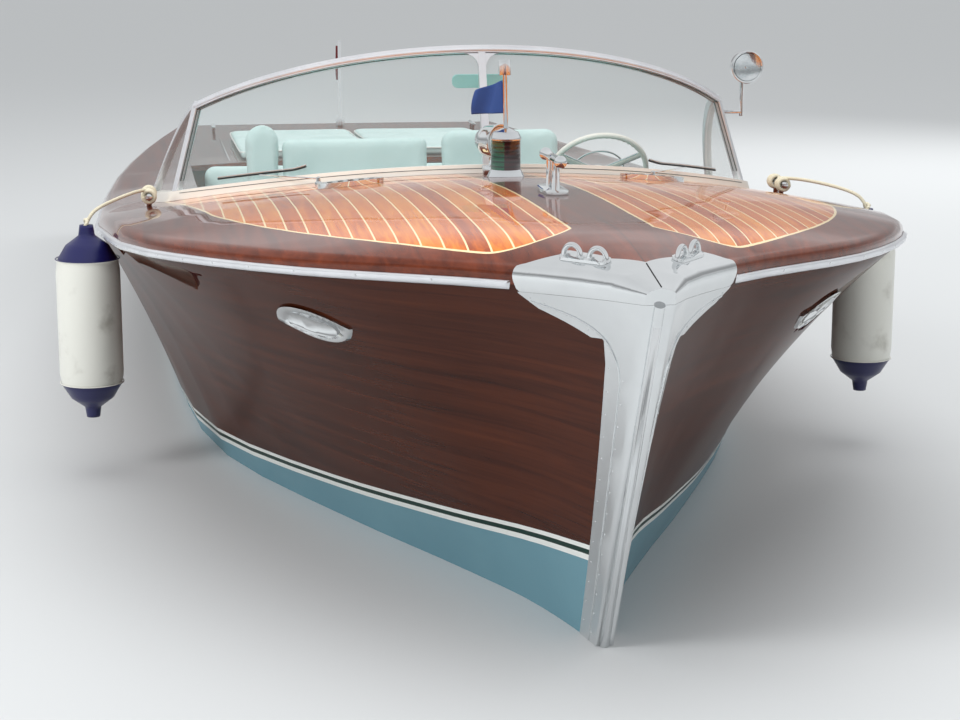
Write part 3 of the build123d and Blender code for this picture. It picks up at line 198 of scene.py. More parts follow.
def srgb(red, green, blue):
    """A colour as it is seen, from 0 to 255, in the shader's linear terms."""
    def linear(v):
        v /= 255
        return v / 12.92 if v <= 0.04045 else ((v + 0.055) / 1.055) ** 2.4
    return linear(red), linear(green), linear(blue)


def mahogany(finish, dark, light, across=(0.7, 14, 14)):
    """Straight grain, fine across the planks, with pores and broad bands of tone."""
    grain = finish.noise(2.2, 6, 0.6, finish.stretched(across), 0.4)
    pores = finish.noise(9, 3, 0.7, finish.stretched([4 * scale for scale in across]))
    tone = finish.noise(0.9, 2, 0.5)
    figure = grain * 0.75 + tone * 0.25
    middle = [0.5 * (a + b) for a, b in zip(dark, light)]
    wood = finish.ramp(figure, (0.3, dark), (0.52, middle), (0.72, light))
    return finish.blend(wood, [0.35 * v for v in dark], pores.rise(0.6, 0.75) * 0.45)


# Boot-top stripes: colour, and distance of each foot below the topmost edge
STRIPES = ((srgb(228, 230, 226), 0.013), (srgb(20, 50, 42), 0.0275), (srgb(228, 230, 226), 0.0435))
# Height of that edge amidships, and its rise by the square of the way ahead
BOOT_LOW, BOOT_RISE = 0.066, 0.01627


def painted_foot(f, wood):
    """Stripes that rise towards the stem, and blue paint below them."""
    ahead = f.x.either(0.0)
    below = ahead * ahead * BOOT_RISE + BOOT_LOW - f.z
    paint = f.blend(srgb(112, 152, 164), srgb(96, 136, 150), f.noise(3, 4))
    for colour, foot in reversed(STRIPES):
        paint = f.blend(paint, colour, below < foot)
    return f.blend(wood, paint, below > 0.0)


def hull_varnish():
    """Dark varnished topside over flush planks, with the boot-top painted along its foot."""
    f = Finish("hull_varnish")
    wood = mahogany(f, srgb(38, 14, 7), srgb(84, 38, 18), (0.6, 0.6, 18))
    plank = (f.z - f.x * SIDE_RISE).part(SIDE_PLANK)
    seam = plank.rise(0.0, 0.008) * (1 - plank.rise(0.992, 1.0))
    wood = f.blend(wood, srgb(30, 14, 9), (1 - seam) * 0.3)
    return f.set(Base_Color=painted_foot(f, wood), Roughness=0.3 + 0.06 * f.noise(30, 3),
                 Specular_IOR_Level=0.0, Coat_Weight=0.45, Coat_Roughness=0.02,
                 Normal=f.dents(f.noise(5, 2), 0.0008))


def deck_wood(f):
    """Red-brown planks with joints across them and a seam on the centre line."""
    wood = mahogany(f, srgb(66, 24, 10), srgb(128, 56, 26))
    joint = ((f.x + JOINT_FROM).part(JOINT_EVERY) - 0.5).size() < JOINT_HALF
    return f.blend(wood, srgb(48, 18, 10), joint.either(f.y.size() < CENTRE_HALF))


def varnished(f, wood):
    return f.set(Base_Color=wood, Roughness=0.2 + 0.05 * f.noise(30, 3), Specular_IOR_Level=0.1,
                 Coat_Weight=0.7, Coat_Roughness=0.02, Normal=f.dents(f.noise(4, 2), 0.0009))


def deck_varnish():
    f = Finish("deck_varnish")
    return varnished(f, deck_wood(f))


def leaf_depth(f):
    """How far a place of the foredeck lies inside the leaf-shaped field of golden planks."""
    off = f.y.size()
    ahead = f.x > LEAF_SWITCH[0]
    arc = LEAF_ARC[2] - f.reach(f.x - LEAF_ARC[0], off - LEAF_ARC[1])
    line = LEAF_SWITCH[1] + (LEAF_SWITCH[0] - f.x) * LEAF_SWITCH[2] - off
    nose_x, nose_y = f.x - LEAF_NOSE[0], off - LEAF_NOSE[1]
    nose = LEAF_NOSE[2] - f.reach(nose_x, nose_y)
    at_nose = (nose_x > 0.0) * (nose_x * LEAF_TOUCH[1] > nose_y * LEAF_TOUCH[0])
    screen = f.reach(f.x - CENTRE_X, off) - LEAF_SCREEN
    outer = ahead * arc + (1 - ahead) * line
    front = at_nose * nose + (1 - at_nose)
    return outer.lesser(front).lesser(screen).lesser(off - LEAF_INNER)


def foredeck_varnish():
    """Covering boards and king plank, and golden planks with pale seams in the leaves between them."""
    f = Finish("foredeck_varnish")
    inward = f.y.size() - LEAF_INNER
    shade = f.node("TexWhiteNoise", {"noise_dimensions": "1D"},
                   {"W": (inward / PLANK_WIDE).sum("FLOOR")}, "Value")
    grain = f.noise(2.4, 6, 0.6, f.stretched((0.9, 22, 22)), 0.7)
    wood = f.ramp(grain * 0.72 + shade * 0.28, (0.28, srgb(156, 66, 10)), (0.48, srgb(204, 102, 16)),
                  (0.7, srgb(230, 140, 34)))
    depth = leaf_depth(f)
    seam = (inward.part(PLANK_WIDE) < PLANK_SEAM).either(depth < LEAF_EDGE)
    golden = f.blend(wood, srgb(246, 222, 172), seam)
    return varnished(f, f.blend(deck_wood(f), golden, depth > 0.0))


def plain_wood():
    f = Finish("plain_wood")
    wood = mahogany(f, srgb(96, 52, 30), srgb(160, 98, 60))
    return f.set(Base_Color=wood, Roughness=0.35, Coat_Weight=0.4, Coat_Roughness=0.1)


def bottom_paint():
    f = Finish("bottom_paint")
    colour = f.blend(srgb(104, 146, 156), srgb(84, 124, 136), f.noise(2.5, 5))
    return f.set(Base_Color=colour, Roughness=0.3 + 0.15 * f.noise(8, 4),
                 Normal=f.dents(f.noise(60, 3), 0.0004))


def chrome():
    f = Finish("chrome")
    smear = f.noise(14, 4)
    return f.set(Base_Color=f.blend((0.82, 0.84, 0.85), (0.72, 0.74, 0.75), smear), Metallic=1.0,
                 Roughness=0.04 + 0.06 * smear.rise(0.5, 0.8), Normal=f.dents(f.noise(9, 2), 0.0006))


def enamel(name, light, dark):
    f = Finish(name)
    return f.set(Base_Color=f.blend(light, dark, f.noise(6, 4)), Roughness=0.3,
                 Coat_Weight=0.4, Coat_Roughness=0.08, Normal=f.dents(f.noise(40, 2), 0.0003))


def screen_glass():
    """Clear glass with a green tint that shows at its edges, and faint haze."""
    f = Finish("screen_glass")
    tint = f.blend(srgb(190, 210, 210), srgb(172, 196, 196), f.noise(3, 3))
    return f.set(Base_Color=tint, Roughness=0.03, Alpha=0.08 + 0.05 * f.noise(1.5, 3), Coat_Weight=0.6)


def vinyl(name, light, dark):
    """Leather-like vinyl with a pebbled grain."""
    f = Finish(name)
    pebble = f.node("TexVoronoi", {}, {"Vector": f.place, "Scale": 420}, "Distance")
    colour = f.blend(light, dark, f.noise(5, 4).rise(0.35, 0.75))
    colour = f.blend(colour, dark, pebble.rise(0.3, 0.9) * 0.3)
    return f.set(Base_Color=colour, Roughness=0.42 + 0.12 * f.noise(12, 3),
                 Normal=f.dents(pebble, 0.0004, 0.6))


def woven(name, light, dark, scale):
    f = Finish(name)
    warp = (f.x * scale).sum("SINE") * (f.z * scale).sum("SINE") + (f.y * scale).sum("SINE") * 0.4
    colour = f.blend(dark, light, warp.rise(-0.6, 0.8))
    return f.set(Base_Color=colour, Roughness=0.9, Normal=f.dents(warp, 0.0004, 0.6))


def metal(name, light, dark, rough, metallic=1.0, fine=40):
    f = Finish(name)
    patch = f.noise(fine, 5)
    return f.set(Base_Color=f.blend(light, dark, patch.rise(0.35, 0.7)), Metallic=metallic,
                 Roughness=rough + 0.15 * patch, Normal=f.dents(f.noise(fine * 6, 2), 0.0003))


# Fenders: the middle, the radius, the knot's height, and the heights where the dark ends begin
FENDER_X, FENDER_Y, FENDER_R, KNOT_Z, FENDER_NAVY = 1.7, 1.323, 0.1035, 0.846, (0.320, 0.732)


def fender_skin():
    """Off-white vinyl with dark blue ends."""
    f = Finish("fender_skin")
    low, high = f.z < FENDER_NAVY[0], f.z > FENDER_NAVY[1]
    scuff = f.noise(9, 5).rise(0.55, 0.8)
    white = f.blend(srgb(224, 224, 216), srgb(180, 178, 168), scuff)
    colour = f.blend(white, srgb(20, 22, 78), low.either(high))
    return f.set(Base_Color=colour, Roughness=0.36 + 0.2 * scuff, Coat_Weight=0.2, Coat_Roughness=0.2,
                 Normal=f.dents(f.noise(30, 3), 0.0006))


# Heights between which the side light has its lens
LENS_Z = (1.043, 1.135)


def light_glass():
    """Side-light lens: green to starboard and dark red to port, in a chrome housing."""
    f = Finish("light_glass")
    lens = (f.z > LENS_Z[0]) * (f.z < LENS_Z[1])
    ribs = (f.z.part(0.0155) - 0.5).size()
    tint = f.blend(srgb(16, 74, 52), srgb(44, 12, 16), f.y > -0.012)
    colour = f.blend((0.72, 0.74, 0.76), f.blend(tint, srgb(8, 20, 18), ribs.rise(0.3, 0.5)), lens)
    return f.set(Base_Color=colour, Metallic=1 - lens, Roughness=0.08, Coat_Weight=lens,
                 Normal=f.dents(ribs * lens, 0.0015))


FINISHES = {
    "varnished_hull": hull_varnish(),
    "varnished_deck": deck_varnish(),
    "inlay_wood": foredeck_varnish(),
    "interior_wood": plain_wood(),
    "sole_covering": woven("sole_covering", srgb(150, 146, 134), srgb(96, 94, 86), 1400),
    "bottom_paint": bottom_paint(),
    "chrome": chrome(),
    "cream_trim": enamel("cream_trim", srgb(238, 234, 226), srgb(226, 220, 209)),
    "screen_glass": screen_glass(),
    "aqua_padding": vinyl("aqua_padding", srgb(156, 220, 214), srgb(122, 196, 192)),
    "upholstery": vinyl("upholstery", srgb(198, 220, 217), srgb(184, 208, 205)),
    "engine_paint": metal("engine_paint", srgb(84, 96, 108), srgb(50, 58, 66), 0.35, 0.3, 12),
    "bronze": metal("bronze", srgb(190, 146, 84), srgb(130, 92, 48), 0.28),
    "fender_vinyl": fender_skin(),
    "black_rubber": metal("black_rubber", srgb(34, 34, 36), srgb(22, 22, 24), 0.5, 0.0, 30),
    "rope": woven("rope", srgb(236, 230, 208), srgb(206, 198, 172), 1800),
    "blue_cloth": woven("blue_cloth", srgb(66, 100, 168), srgb(38, 64, 122), 2600),
    "red_cloth": woven("red_cloth", srgb(130, 30, 34), srgb(88, 16, 20), 2600),
}
LIGHT_LENS = light_glass()
PIPING = enamel("piping", srgb(236, 238, 232), srgb(214, 220, 214))
FRAME_METAL = metal("frame_metal", (0.84, 0.85, 0.88), (0.76, 0.77, 0.8), 0.26, 0.7, 8)
# Dark grey of the windscreen's rubber seals, also used as the painted shade of the cream trim's groove
SEAL_AND_GROOVE_SHADE = metal("seal_and_groove_shade", srgb(84, 92, 90), srgb(62, 70, 68), 0.5, 0.0, 30)
REFLECTOR = metal("reflector", (0.8, 0.82, 0.84), (0.6, 0.64, 0.66), 0.04, 1.0, 25)


# Cords: each fender hangs by a lanyard from the side cleat, over the rail
LANYARD_D = 0.012
LANYARD = ((1.700, 1.323, 0.8435), (1.697, 1.310, 0.874), (1.678, 1.280, 0.896), (1.620, 1.232, 0.911),
           (1.530, 1.188, 0.917), (1.420, 1.148, 0.916), (1.330, 1.120, 0.9073))
# Turns round a horn: radius, swell, length, drop below the rope's end, how many
TURNS_R, TURNS_SWELL, TURNS_LONG, TURNS_DROP, TURNS = 0.019, 0.004, 0.044, 0.0175, 4
TURNS_AT = (1.378, 1.282)


def placed(name, data):
    """A new object in the scene."""
    made = bpy.data.objects.new(name, data)
    bpy.context.scene.collection.objects.link(made)
    return made


def line_piece(name, lines, radius, slot, body="hull", finish=None, closed=False):
    """One round line or several, each through its points, and back to the first where they are closed."""
    curve = bpy.data.curves.new(name, "CURVE")
    curve.dimensions = "3D"
    curve.bevel_depth = radius
    curve.bevel_resolution = 3
    curve.resolution_u = 12
    curve.use_fill_caps = True
    for points in lines:
        spline = curve.splines.new("NURBS")
        spline.points.add(len(points) - 1)
        for point, place in zip(spline.points, points):
            point.co = (*place, 1)
        spline.order_u = 3
        spline.use_endpoint_u = not closed
        spline.use_cyclic_u = closed
    made = placed(name, curve)
    curve.materials.append(finish or FINISHES[slot])
    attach(made, body)
    return made


def cleat_turns(word, side):
    """The lanyard's end wound round both horns of the side cleat."""
    cleat_y, cleat_z = LANYARD[-1][1:]
    lines, count = [], TURNS * 8
    for x in TURNS_AT:
        coil = []
        for n in range(count + 1):
            swing = tau * n / 8
            swell = TURNS_R + TURNS_SWELL * sin(pi * n / count)
            coil.append((x + TURNS_LONG * (n / count - 0.5), side * (cleat_y + swell * cos(swing)),
                         cleat_z - TURNS_DROP + swell * sin(swing)))
        lines.append(coil)
    return line_piece("cleat_turns_" + word, lines, LANYARD_D / 2, "rope")


def lanyard(word, side):
    route = [(x, side * y, z) for x, y, z in LANYARD]
    piece = line_piece("fender_line_" + word, [route], LANYARD_D / 2, "rope")
    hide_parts("lanyard_" + word)
    cleat_turns(word, side)


for word, side in SIDES:
    lanyard(word, side)


# Pieces
def finished(name, bm, slot, body="hull", sharp=35, finish=None):
    """A bmesh made into a piece, shaded smooth except over its sharp edges."""
    mesh = mesh_of(name, bm)
    mesh.materials.append(finish or FINISHES[slot])
    mesh.shade_smooth()
    mesh.set_sharp_from_angle(angle=radians(sharp))
    made = placed(name, mesh)
    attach(made, body)
    return made


def mesh_of(name, bm):
    mesh = bpy.data.meshes.new(name)
    bm.to_mesh(mesh)
    bm.free()
    return mesh


def merged(name):
    """A copy of a node's mesh with its doubled points joined."""
    bm = bmesh.new()
    bm.from_mesh(nodes[name].data)
    bmesh.ops.remove_doubles(bm, verts=bm.verts, dist=2e-5)
    return bm


def shape_of(name):
    """A node's surface, to lay fittings on."""
    bm = merged(name)
    tree = BVHTree.FromBMesh(bm)
    bm.free()
    return tree


def topmost(tree, x, y):
    """The highest point of a surface at a place, or None beside it."""
    return tree.ray_cast(Vector((x, y, 2)), -UP)[0]


def aimed(place, way):
    """A frame at a place whose Z points along a direction."""
    return Matrix.Translation(place) @ way.to_track_quat("Z", "Y").to_matrix().to_4x4()


def rod(bm, start, end, radius, sides=16, end_radius=None):
    start, end = Vector(start), Vector(end)
    bmesh.ops.create_cone(bm, cap_ends=True, segments=sides, radius1=radius,
                          radius2=radius if end_radius is None else end_radius, depth=(end - start).length,
                          matrix=aimed((start + end) / 2, end - start))


def face_outwards(bm):
    bmesh.ops.recalc_face_normals(bm, faces=bm.faces)


def lathe(bm, outline, place, way, steps=32):
    """A turned form: (radius, height) points spun about an axis."""
    at = aimed(Vector(place), Vector(way))
    rim = [bm.verts.new(at @ Vector((radius, 0, height))) for radius, height in outline]
    edges = [bm.edges.new(pair) for pair in zip(rim, rim[1:])]
    axis = at.to_3x3() @ UP
    bmesh.ops.spin(bm, geom=rim + edges, cent=at.translation, axis=axis, angle=tau, steps=steps,
                   use_merge=True, use_duplicate=False)
    bmesh.ops.remove_doubles(bm, verts=bm.verts, dist=1e-5)
    face_outwards(bm)


def circle(centre, across, up, radius, count):
    """Points round a centre, in the plane of two directions."""
    turns = [tau * n / count for n in range(count)]
    return [centre + (across * cos(a) + up * sin(a)) * radius for a in turns]


def bevelled(bm, edges, wide, segments):
    bmesh.ops.bevel(bm, geom=edges, offset=wide, segments=segments, profile=0.5, affect="EDGES", material=-1)


def ball(bm, place, radius, around, high):
    bmesh.ops.create_uvsphere(bm, u_segments=around, v_segments=high, radius=radius,
                              matrix=Matrix.Translation(place))


def extrude(bm, faces, move):
    made = bmesh.ops.extrude_face_region(bm, geom=faces)
    moved = [v for v in made["geom"] if isinstance(v, bmesh.types.BMVert)]
    bmesh.ops.translate(bm, verts=moved, vec=move)


def block(bm, low, high, bevel, segments=3):
    """A box with rounded edges."""
    low, high = Vector(low), Vector(high)
    made = bmesh.ops.create_cube(bm, size=1, matrix=Matrix.Translation((low + high) / 2)
                                 @ Matrix.Diagonal((*(high - low), 1)))
    edges = list({edge for vert in made["verts"] for edge in vert.link_edges})
    bevelled(bm, edges, bevel, segments)


# Carried-over pieces: merged copies, shaded smooth, of every node but these, which are built anew
BUILT_ANEW = ("wipers", "front_seats", "rear_seat", "sun_pad_port", "sun_pad_starboard", "dash_roll",
              "bow_pennant", "stern_ensign", "lanyard_port", "lanyard_starboard")
OWN_FINISH = {"bow_light": LIGHT_LENS, "foredeck": FINISHES["inlay_wood"],
              "windscreen_frame": FRAME_METAL, "rub_rails": FRAME_METAL}
# Edge rounding in metres of the cast and drawn metal
ROUNDED = {"windscreen_frame": 0.0045, "bow_plate": 0.0015, "windscreen_trim": 0.004, "mirror": 0.006}

for name in nodes:
    if name in BUILT_ANEW:
        continue
    bm = merged(name)
    if name in ROUNDED:
        bmesh.ops.dissolve_limit(bm, angle_limit=radians(0.5), verts=bm.verts, edges=bm.edges)
    piece = finished(name + "_surface", bm, SLOT_OF[name], BODY_OF[name], finish=OWN_FINISH.get(name))
    if name in ROUNDED:
        rounding = piece.modifiers.new("rounding", "BEVEL")
        rounding.width = ROUNDED[name]
        rounding.segments = 2
        rounding.limit_method = "ANGLE"
        rounding.angle_limit = radians(40)
    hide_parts(name)


# Stem: an inset line along the plate's edge, and its screws
def laid(tree, x, z, side, out):
    """A point on the hull's side at a place along and up, and the way out from it."""
    point, normal = tree.ray_cast(Vector((x, side * 3, z)), Vector((0, -side, 0)))[:2]
    if point is None:
        return None
    if normal.y * side < 0:
        normal = -normal
    return point + normal * out, normal


def screws(name, spots, radius):
    """Small raised screw heads, each turned to its surface."""
    bm = bmesh.new()
    for place, way in [spot for spot in spots if spot]:
        bmesh.ops.create_cone(bm, cap_ends=True, segments=10, radius1=radius, radius2=radius * 0.55,
                              depth=0.0016, matrix=aimed(place + way * 0.0006, way))
    finished(name, bm, "chrome", sharp=20)


# The rib on the stem: how far out, and its radius
RIB_OUT, RIB_R = 0.0143, 0.013
STEM_LOW, STEM_HIGH = Vector((3.47, 0, -0.2)), Vector((4.1, 0, 0.985))
STEM_UP = (STEM_HIGH - STEM_LOW).normalized()
STEM_OUT = Vector((STEM_UP.z, 0, -STEM_UP.x))
# Inset line: heights beside the stem, then x and z under the rail and aft
INSET_OUT, INSET_Z = -0.030, (-0.06, 0.1, 0.3, 0.5, 0.68, 0.78)
INSET_AFT = ((3.955, 0.855), (3.93, 0.89), (3.88, 0.914), (3.82, 0.928), (3.785, 0.934))
# Screws: two rows beside the stem, and some along the plate's upper edge
SCREWS_OUT, SCREWS_LOW, SCREWS_STEP, SCREWS_COUNT = (-0.066, -0.020), 0.02, 0.062, 13
SCREWS_AFT = ((3.905, 0.885), (3.862, 0.912), (3.818, 0.933), (3.79, 0.942))


def by_stem(z, out):
    """The x and z of a place at a height on the stem, moved out from it."""
    point = STEM_LOW + STEM_UP * ((z - STEM_LOW.z) / STEM_UP.z) + STEM_OUT * out
    return point.x, point.z


def stem_details():
    plate = shape_of("cutwater")
    beads, heads = [], []
    inset = [by_stem(z, INSET_OUT) for z in INSET_Z] + list(INSET_AFT)
    for side in (1, -1):
        spots = [laid(plate, x, z, side, 0.0006) for x, z in inset]
        beads.append([spot[0] for spot in spots if spot])
        heights = [SCREWS_LOW + SCREWS_STEP * n for n in range(SCREWS_COUNT)]
        rows = [by_stem(z, out) for z in heights for out in SCREWS_OUT]
        heads += [laid(plate, x, z, side, 0) for x, z in (*rows, *SCREWS_AFT)]
    line_piece("cutwater_beads", beads, 0.0022, "chrome")
    screws("cutwater_screws", heads, 0.0032)


stem_details()


# The rub rails' screws: the foremost, the step aft, how many
RAIL_SCREW_X, RAIL_SCREW_STEP, RAIL_SCREWS = 3.6, 0.15, 50


def rail_height(x):
    for (fore, high), (aft, low) in zip(RAIL, RAIL[1:]):
        if aft <= x:
            return low + (x - aft) / (fore - aft) * (high - low)


def rub_rail_screws():
    rail, places = shape_of("rub_rails"), [RAIL_SCREW_X - RAIL_SCREW_STEP * n for n in range(RAIL_SCREWS)]
    spots = [laid(rail, x, rail_height(x), side, 0) for x in places for side in (1, -1)]
    screws("rub_rail_screws", spots, 0.0035)


rub_rail_screws()


def bow_plate_details():
    """Painted shade of the bow plate's centre seam, a thin black line laid along it, and the stem rib's head
    below its nose.
    """
    plate = shape_of("bow_plate")
    head = bmesh.new()
    (low_x, low_z), (high_x, high_z) = by_stem(0.925, RIB_OUT), by_stem(0.985, RIB_OUT)
    rod(head, (low_x, 0, low_z), (high_x, 0, high_z), RIB_R)
    finished("stem_rib_head", head, "chrome")
    seam = []
    for n in range(9):
        point = topmost(plate, 3.98 + 0.018 * n, 0)
        if point:
            seam.append(point + UP * 0.0004)
    # The seam's shade is painted: a thin black line lying on the chrome plate
    line_piece("bow_plate_seam_shade", [seam], 0.0014, "chrome", finish=FINISHES["black_rubber"])


bow_plate_details()


# Windscreen
def screen_point(turn, z, out=0.0):
    """A point of the windscreen's cone, by its turn from dead ahead and its height."""
    reach = SCREEN_R - SCREEN_SLOPE * (z - SCREEN_BASE_Z) + out
    return Vector((CENTRE_X + reach * cos(radians(turn)), reach * sin(radians(turn)), z))


def top_height(turn, drop):
    """Where the cone meets the windscreen's sloping top, or a plane that far below it."""
    z = SCREEN_TOP_Z
    for _ in range(8):
        x = screen_point(turn, z).x
        z = SCREEN_TOP_Z + (x - SCREEN_TOP_X) * SCREEN_TOP_FALL - drop
    return z


def screen_details():
    out = SCREEN_FRAME / 2
    turns = [POST_TURN * (n / 16 - 1) for n in range(33)]
    rail = [screen_point(t, top_height(t, SCREEN_RAIL * 0.42), out - 0.001) for t in turns]
    line_piece("windscreen_bead", [rail], 0.0065, "chrome", finish=FRAME_METAL)
    seals = []
    for side in (1, -1):
        inner = side * (POST_HALF + 0.2)
        outer = side * (POST_TURN - POST_HALF - 0.1)
        steps = [inner + (outer - inner) * n / 14 for n in range(15)]
        for face in (0.0065, -0.0065):
            top = [screen_point(t, top_height(t, SCREEN_RAIL + 0.001), face) for t in steps]
            low_out = screen_point(outer, 0.915, face)
            seals.append([*top, top[-1], low_out])
    line_piece("windscreen_seals", seals, 0.0016, "black_rubber", finish=SEAL_AND_GROOVE_SHADE)


screen_details()


def trim_groove_shade():
    """Painted shade of a fine groove along the middle of the cream trim's outer face: a thin dark line laid
    on that face.
    """
    trim, line = shape_of("windscreen_trim"), []
    for n in range(59):
        turn = radians(-55 + 110 * n / 58)
        away = Vector((cos(turn), sin(turn), 0))
        near = Vector((CENTRE_X, 0, 0)) + away * (SCREEN_R + 0.018)
        top = topmost(trim, near.x, near.y)
        if top:
            point = trim.ray_cast(top + away * 0.2 - UP * 0.012, -away)[0]
            if point:
                line.append(point + away * 0.0004)
    # The groove's shade is painted: a dark line standing on the cream trim, not a cut into it
    line_piece("windscreen_trim_groove_shade", [line], 0.0011, "cream_trim", finish=SEAL_AND_GROOVE_SHADE)


trim_groove_shade()

# Wipers: turns of the arm's end and of the blade's ends, and the pivot's place and outline
WIPER_MIDDLE, WIPER_BLADE, PIVOT = 39, (29.5, 47.5), (1.70, 0.565)
PIVOT_OUTLINE = ((0.013, 0.0), (0.012, 0.006), (0.008, 0.010), (0.007, 0.022), (0.004, 0.025), (0.0, 0.026))


def wiper_arms():
    blades, bm = shape_of("wipers"), bmesh.new()
    for word, side in SIDES:
        foot = topmost(shape_of("inlay_" + word), PIVOT[0], side * PIVOT[1])
        if not foot:
            continue
        lathe(bm, PIVOT_OUTLINE, foot, UP, 20)
        blade = blades.find_nearest(screen_point(side * WIPER_MIDDLE, 1.04, 0.03))[0]
        rod(bm, foot + UP * 0.019, blade, 0.0026, 10)
    finished("wiper_arms", bm, "chrome")
    strips, holders = [], []
    for side in (1, -1):
        turns = [side * (WIPER_BLADE[0] + (WIPER_BLADE[1] - WIPER_BLADE[0]) * n / 8) for n in range(9)]
        lows = [blades.find_nearest(screen_point(turn, 1.0, 0.02))[0] for turn in turns]
        strips.append([place + UP * 0.003 for place in lows])
        holders.append([place + UP * 0.009 for place in lows])
    strip = line_piece("wiper_blades", strips, 0.0032, "chrome", finish=FINISHES["black_rubber"])
    line_piece("wiper_holders", holders, 0.0024, "chrome")
    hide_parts("wipers")


wiper_arms()


def corner_fillet(side):
    """Rounds the inner top corner of a pane beside the centre post."""
    radius, half = 0.055, SCREEN_FRAME / 2 - 0.001
    post = radians(POST_HALF) * SCREEN_R
    bm = bmesh.new()
    corner = bm.verts.new((0, 0, 0))
    arc = [bm.verts.new((radius * (1 - sin(a)), -radius * (1 - cos(a)), 0))
           for a in [pi / 2 * n / 8 for n in range(9)]]
    bm.faces.new([corner, *arc] if side > 0 else [corner, *arc[::-1]])
    bmesh.ops.triangulate(bm, faces=bm.faces)
    extrude(bm, bm.faces[:], (0, 0, 2 * half))
    for vert in bm.verts:
        across, down, deep = vert.co
        turn = side * (post - 0.002 + across) / SCREEN_R * 180 / pi
        z = top_height(turn, SCREEN_RAIL - 0.002) + down
        vert.co = screen_point(turn, z, deep - half)
    face_outwards(bm)
    return bm


for word, side in SIDES:
    finished("pane_corner_" + word, corner_fillet(side), "chrome", finish=FRAME_METAL)


CLOTH_FRAMES, QUICK_COARSER = 16, 1.6


def puffed(name, bm, slot, body, voxel, pressure, cap, floor_z=None):
    """A closed form swollen as a stuffed cover does, with no point moving further than the cap."""
    face_outwards(bm)
    made = placed(name, mesh_of(name, bm))
    remesh = made.modifiers.new("remesh", "REMESH")
    remesh.mode = "VOXEL"
    remesh.voxel_size = voxel * 1
    applied(made)
    before = [vert.co.copy() for vert in made.data.vertices]
    cloth = made.modifiers.new("cloth", "CLOTH")
    cloth.settings.use_pressure = True
    cloth.settings.uniform_pressure_force = pressure
    cloth.settings.effector_weights.gravity = 0
    cloth.point_cache.frame_end = CLOTH_FRAMES
    for step in range(1, CLOTH_FRAMES + 1):
        bpy.context.scene.frame_set(step)
    applied(made)
    bpy.context.scene.frame_set(1)
    for vert, start in zip(made.data.vertices, before):
        move = vert.co - start
        if move.length > cap:
            vert.co = start + move * (cap / move.length)
        if floor_z is not None and start.z < floor_z + 0.004:
            vert.co.z = max(vert.co.z, start.z)
    made.data.materials.append(FINISHES[slot])
    made.data.shade_smooth()
    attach(made, body)
    return made


def applied(made):
    """Gives a piece the mesh that its modifiers make, and takes them off."""
    graph = bpy.context.evaluated_depsgraph_get()
    mesh = bpy.data.meshes.new_from_object(made.evaluated_get(graph))
    made.modifiers.clear()
    made.data = mesh


def grooved(bm, axis, low, high, count, width, deep, floor_z):
    """Sewn channels: pulls the upper faces down in narrow grooves at even steps along an axis."""
    places = [low + (high - low) * n / count for n in range(1, count)]
    for vert in bm.verts:
        if vert.co.z > floor_z:
            near = min(abs(vert.co[axis] - place) for place in places)
            vert.co.z -= deep * max(0.0, 1 - near / width) ** 2


def cushion_block(low, high, bevel, cuts):
    """A rounded box, cut into enough faces to bend."""
    bm = bmesh.new()
    block(bm, low, high, bevel, 4)
    for axis, count in enumerate(cuts):
        for n in range(1, count):
            place = Vector((0, 0, 0))
            place[axis] = low[axis] + (high[axis] - low[axis]) * n / count
            way = Vector((0, 0, 0))
            way[axis] = 1
            everything = bm.verts[:] + bm.edges[:] + bm.faces[:]
            bmesh.ops.bisect_plane(bm, geom=everything, plane_co=place, plane_no=way)
    return bm


def sun_pad(word):
    """A long pad on the hatch lid, sewn across in channels and piped round its top."""
    low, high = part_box("sun_pad_" + word)
    deck = shape_of("hatch_lid_" + word)
    margin, thick = 0.008, 0.042
    aft, fore, right, left = low[0] + margin, high[0] - margin, low[1] + margin, high[1] - margin

    def lid_height(x, y):
        point = topmost(deck, x, y)
        return point.z if point else low[2]

    bm = cushion_block((aft, right, 0.0), (fore, left, thick), 0.014, (30, 10, 1))
    grooved(bm, 0, low[0], high[0], 6, 0.022, 0.009, 0.02)
    for vert in bm.verts:
        vert.co.z += lid_height(vert.co.x, vert.co.y) + 0.0015
    pad = puffed("sun_pad_cover_" + word, bm, "upholstery", "hatch_" + word, 0.011, 3.0, 0.005)
    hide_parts("sun_pad_" + word)
    edge = [(aft, right), (fore, right), (fore, left), (aft, left)]
    rim = []
    for (ax, ay), (bx, by) in zip(edge, edge[1:] + edge[:1]):
        for n in range(12):
            share = 0.03 + 0.94 * n / 11
            x, y = ax + (bx - ax) * share, ay + (by - ay) * share
            rim.append((x, y, lid_height(x, y) + thick - 0.007))
    line_piece("sun_pad_piping_" + word, [rim], 0.004, "upholstery", "hatch_" + word, PIPING, True)


for word, side in SIDES:
    sun_pad(word)

# Seats. Each rests on the sole; all sizes in metres
SOLE_Z = -0.14
FRONT_BASES = ((-0.715, 0.04), (0.09, 0.60))
# y_low, y_high, top of the back, rounding of its corners
FRONT_BACKS = ((-0.73, -0.582, 0.978, 0.07), (-0.58, 0.04, 0.922, 0.03), (0.09, 0.60, 0.950, 0.055))
BACK_X, BACK_THICK, BACK_LEAN = -0.06, 0.095, 9
REAR_HALF, REAR_LEAN = 0.88, 8


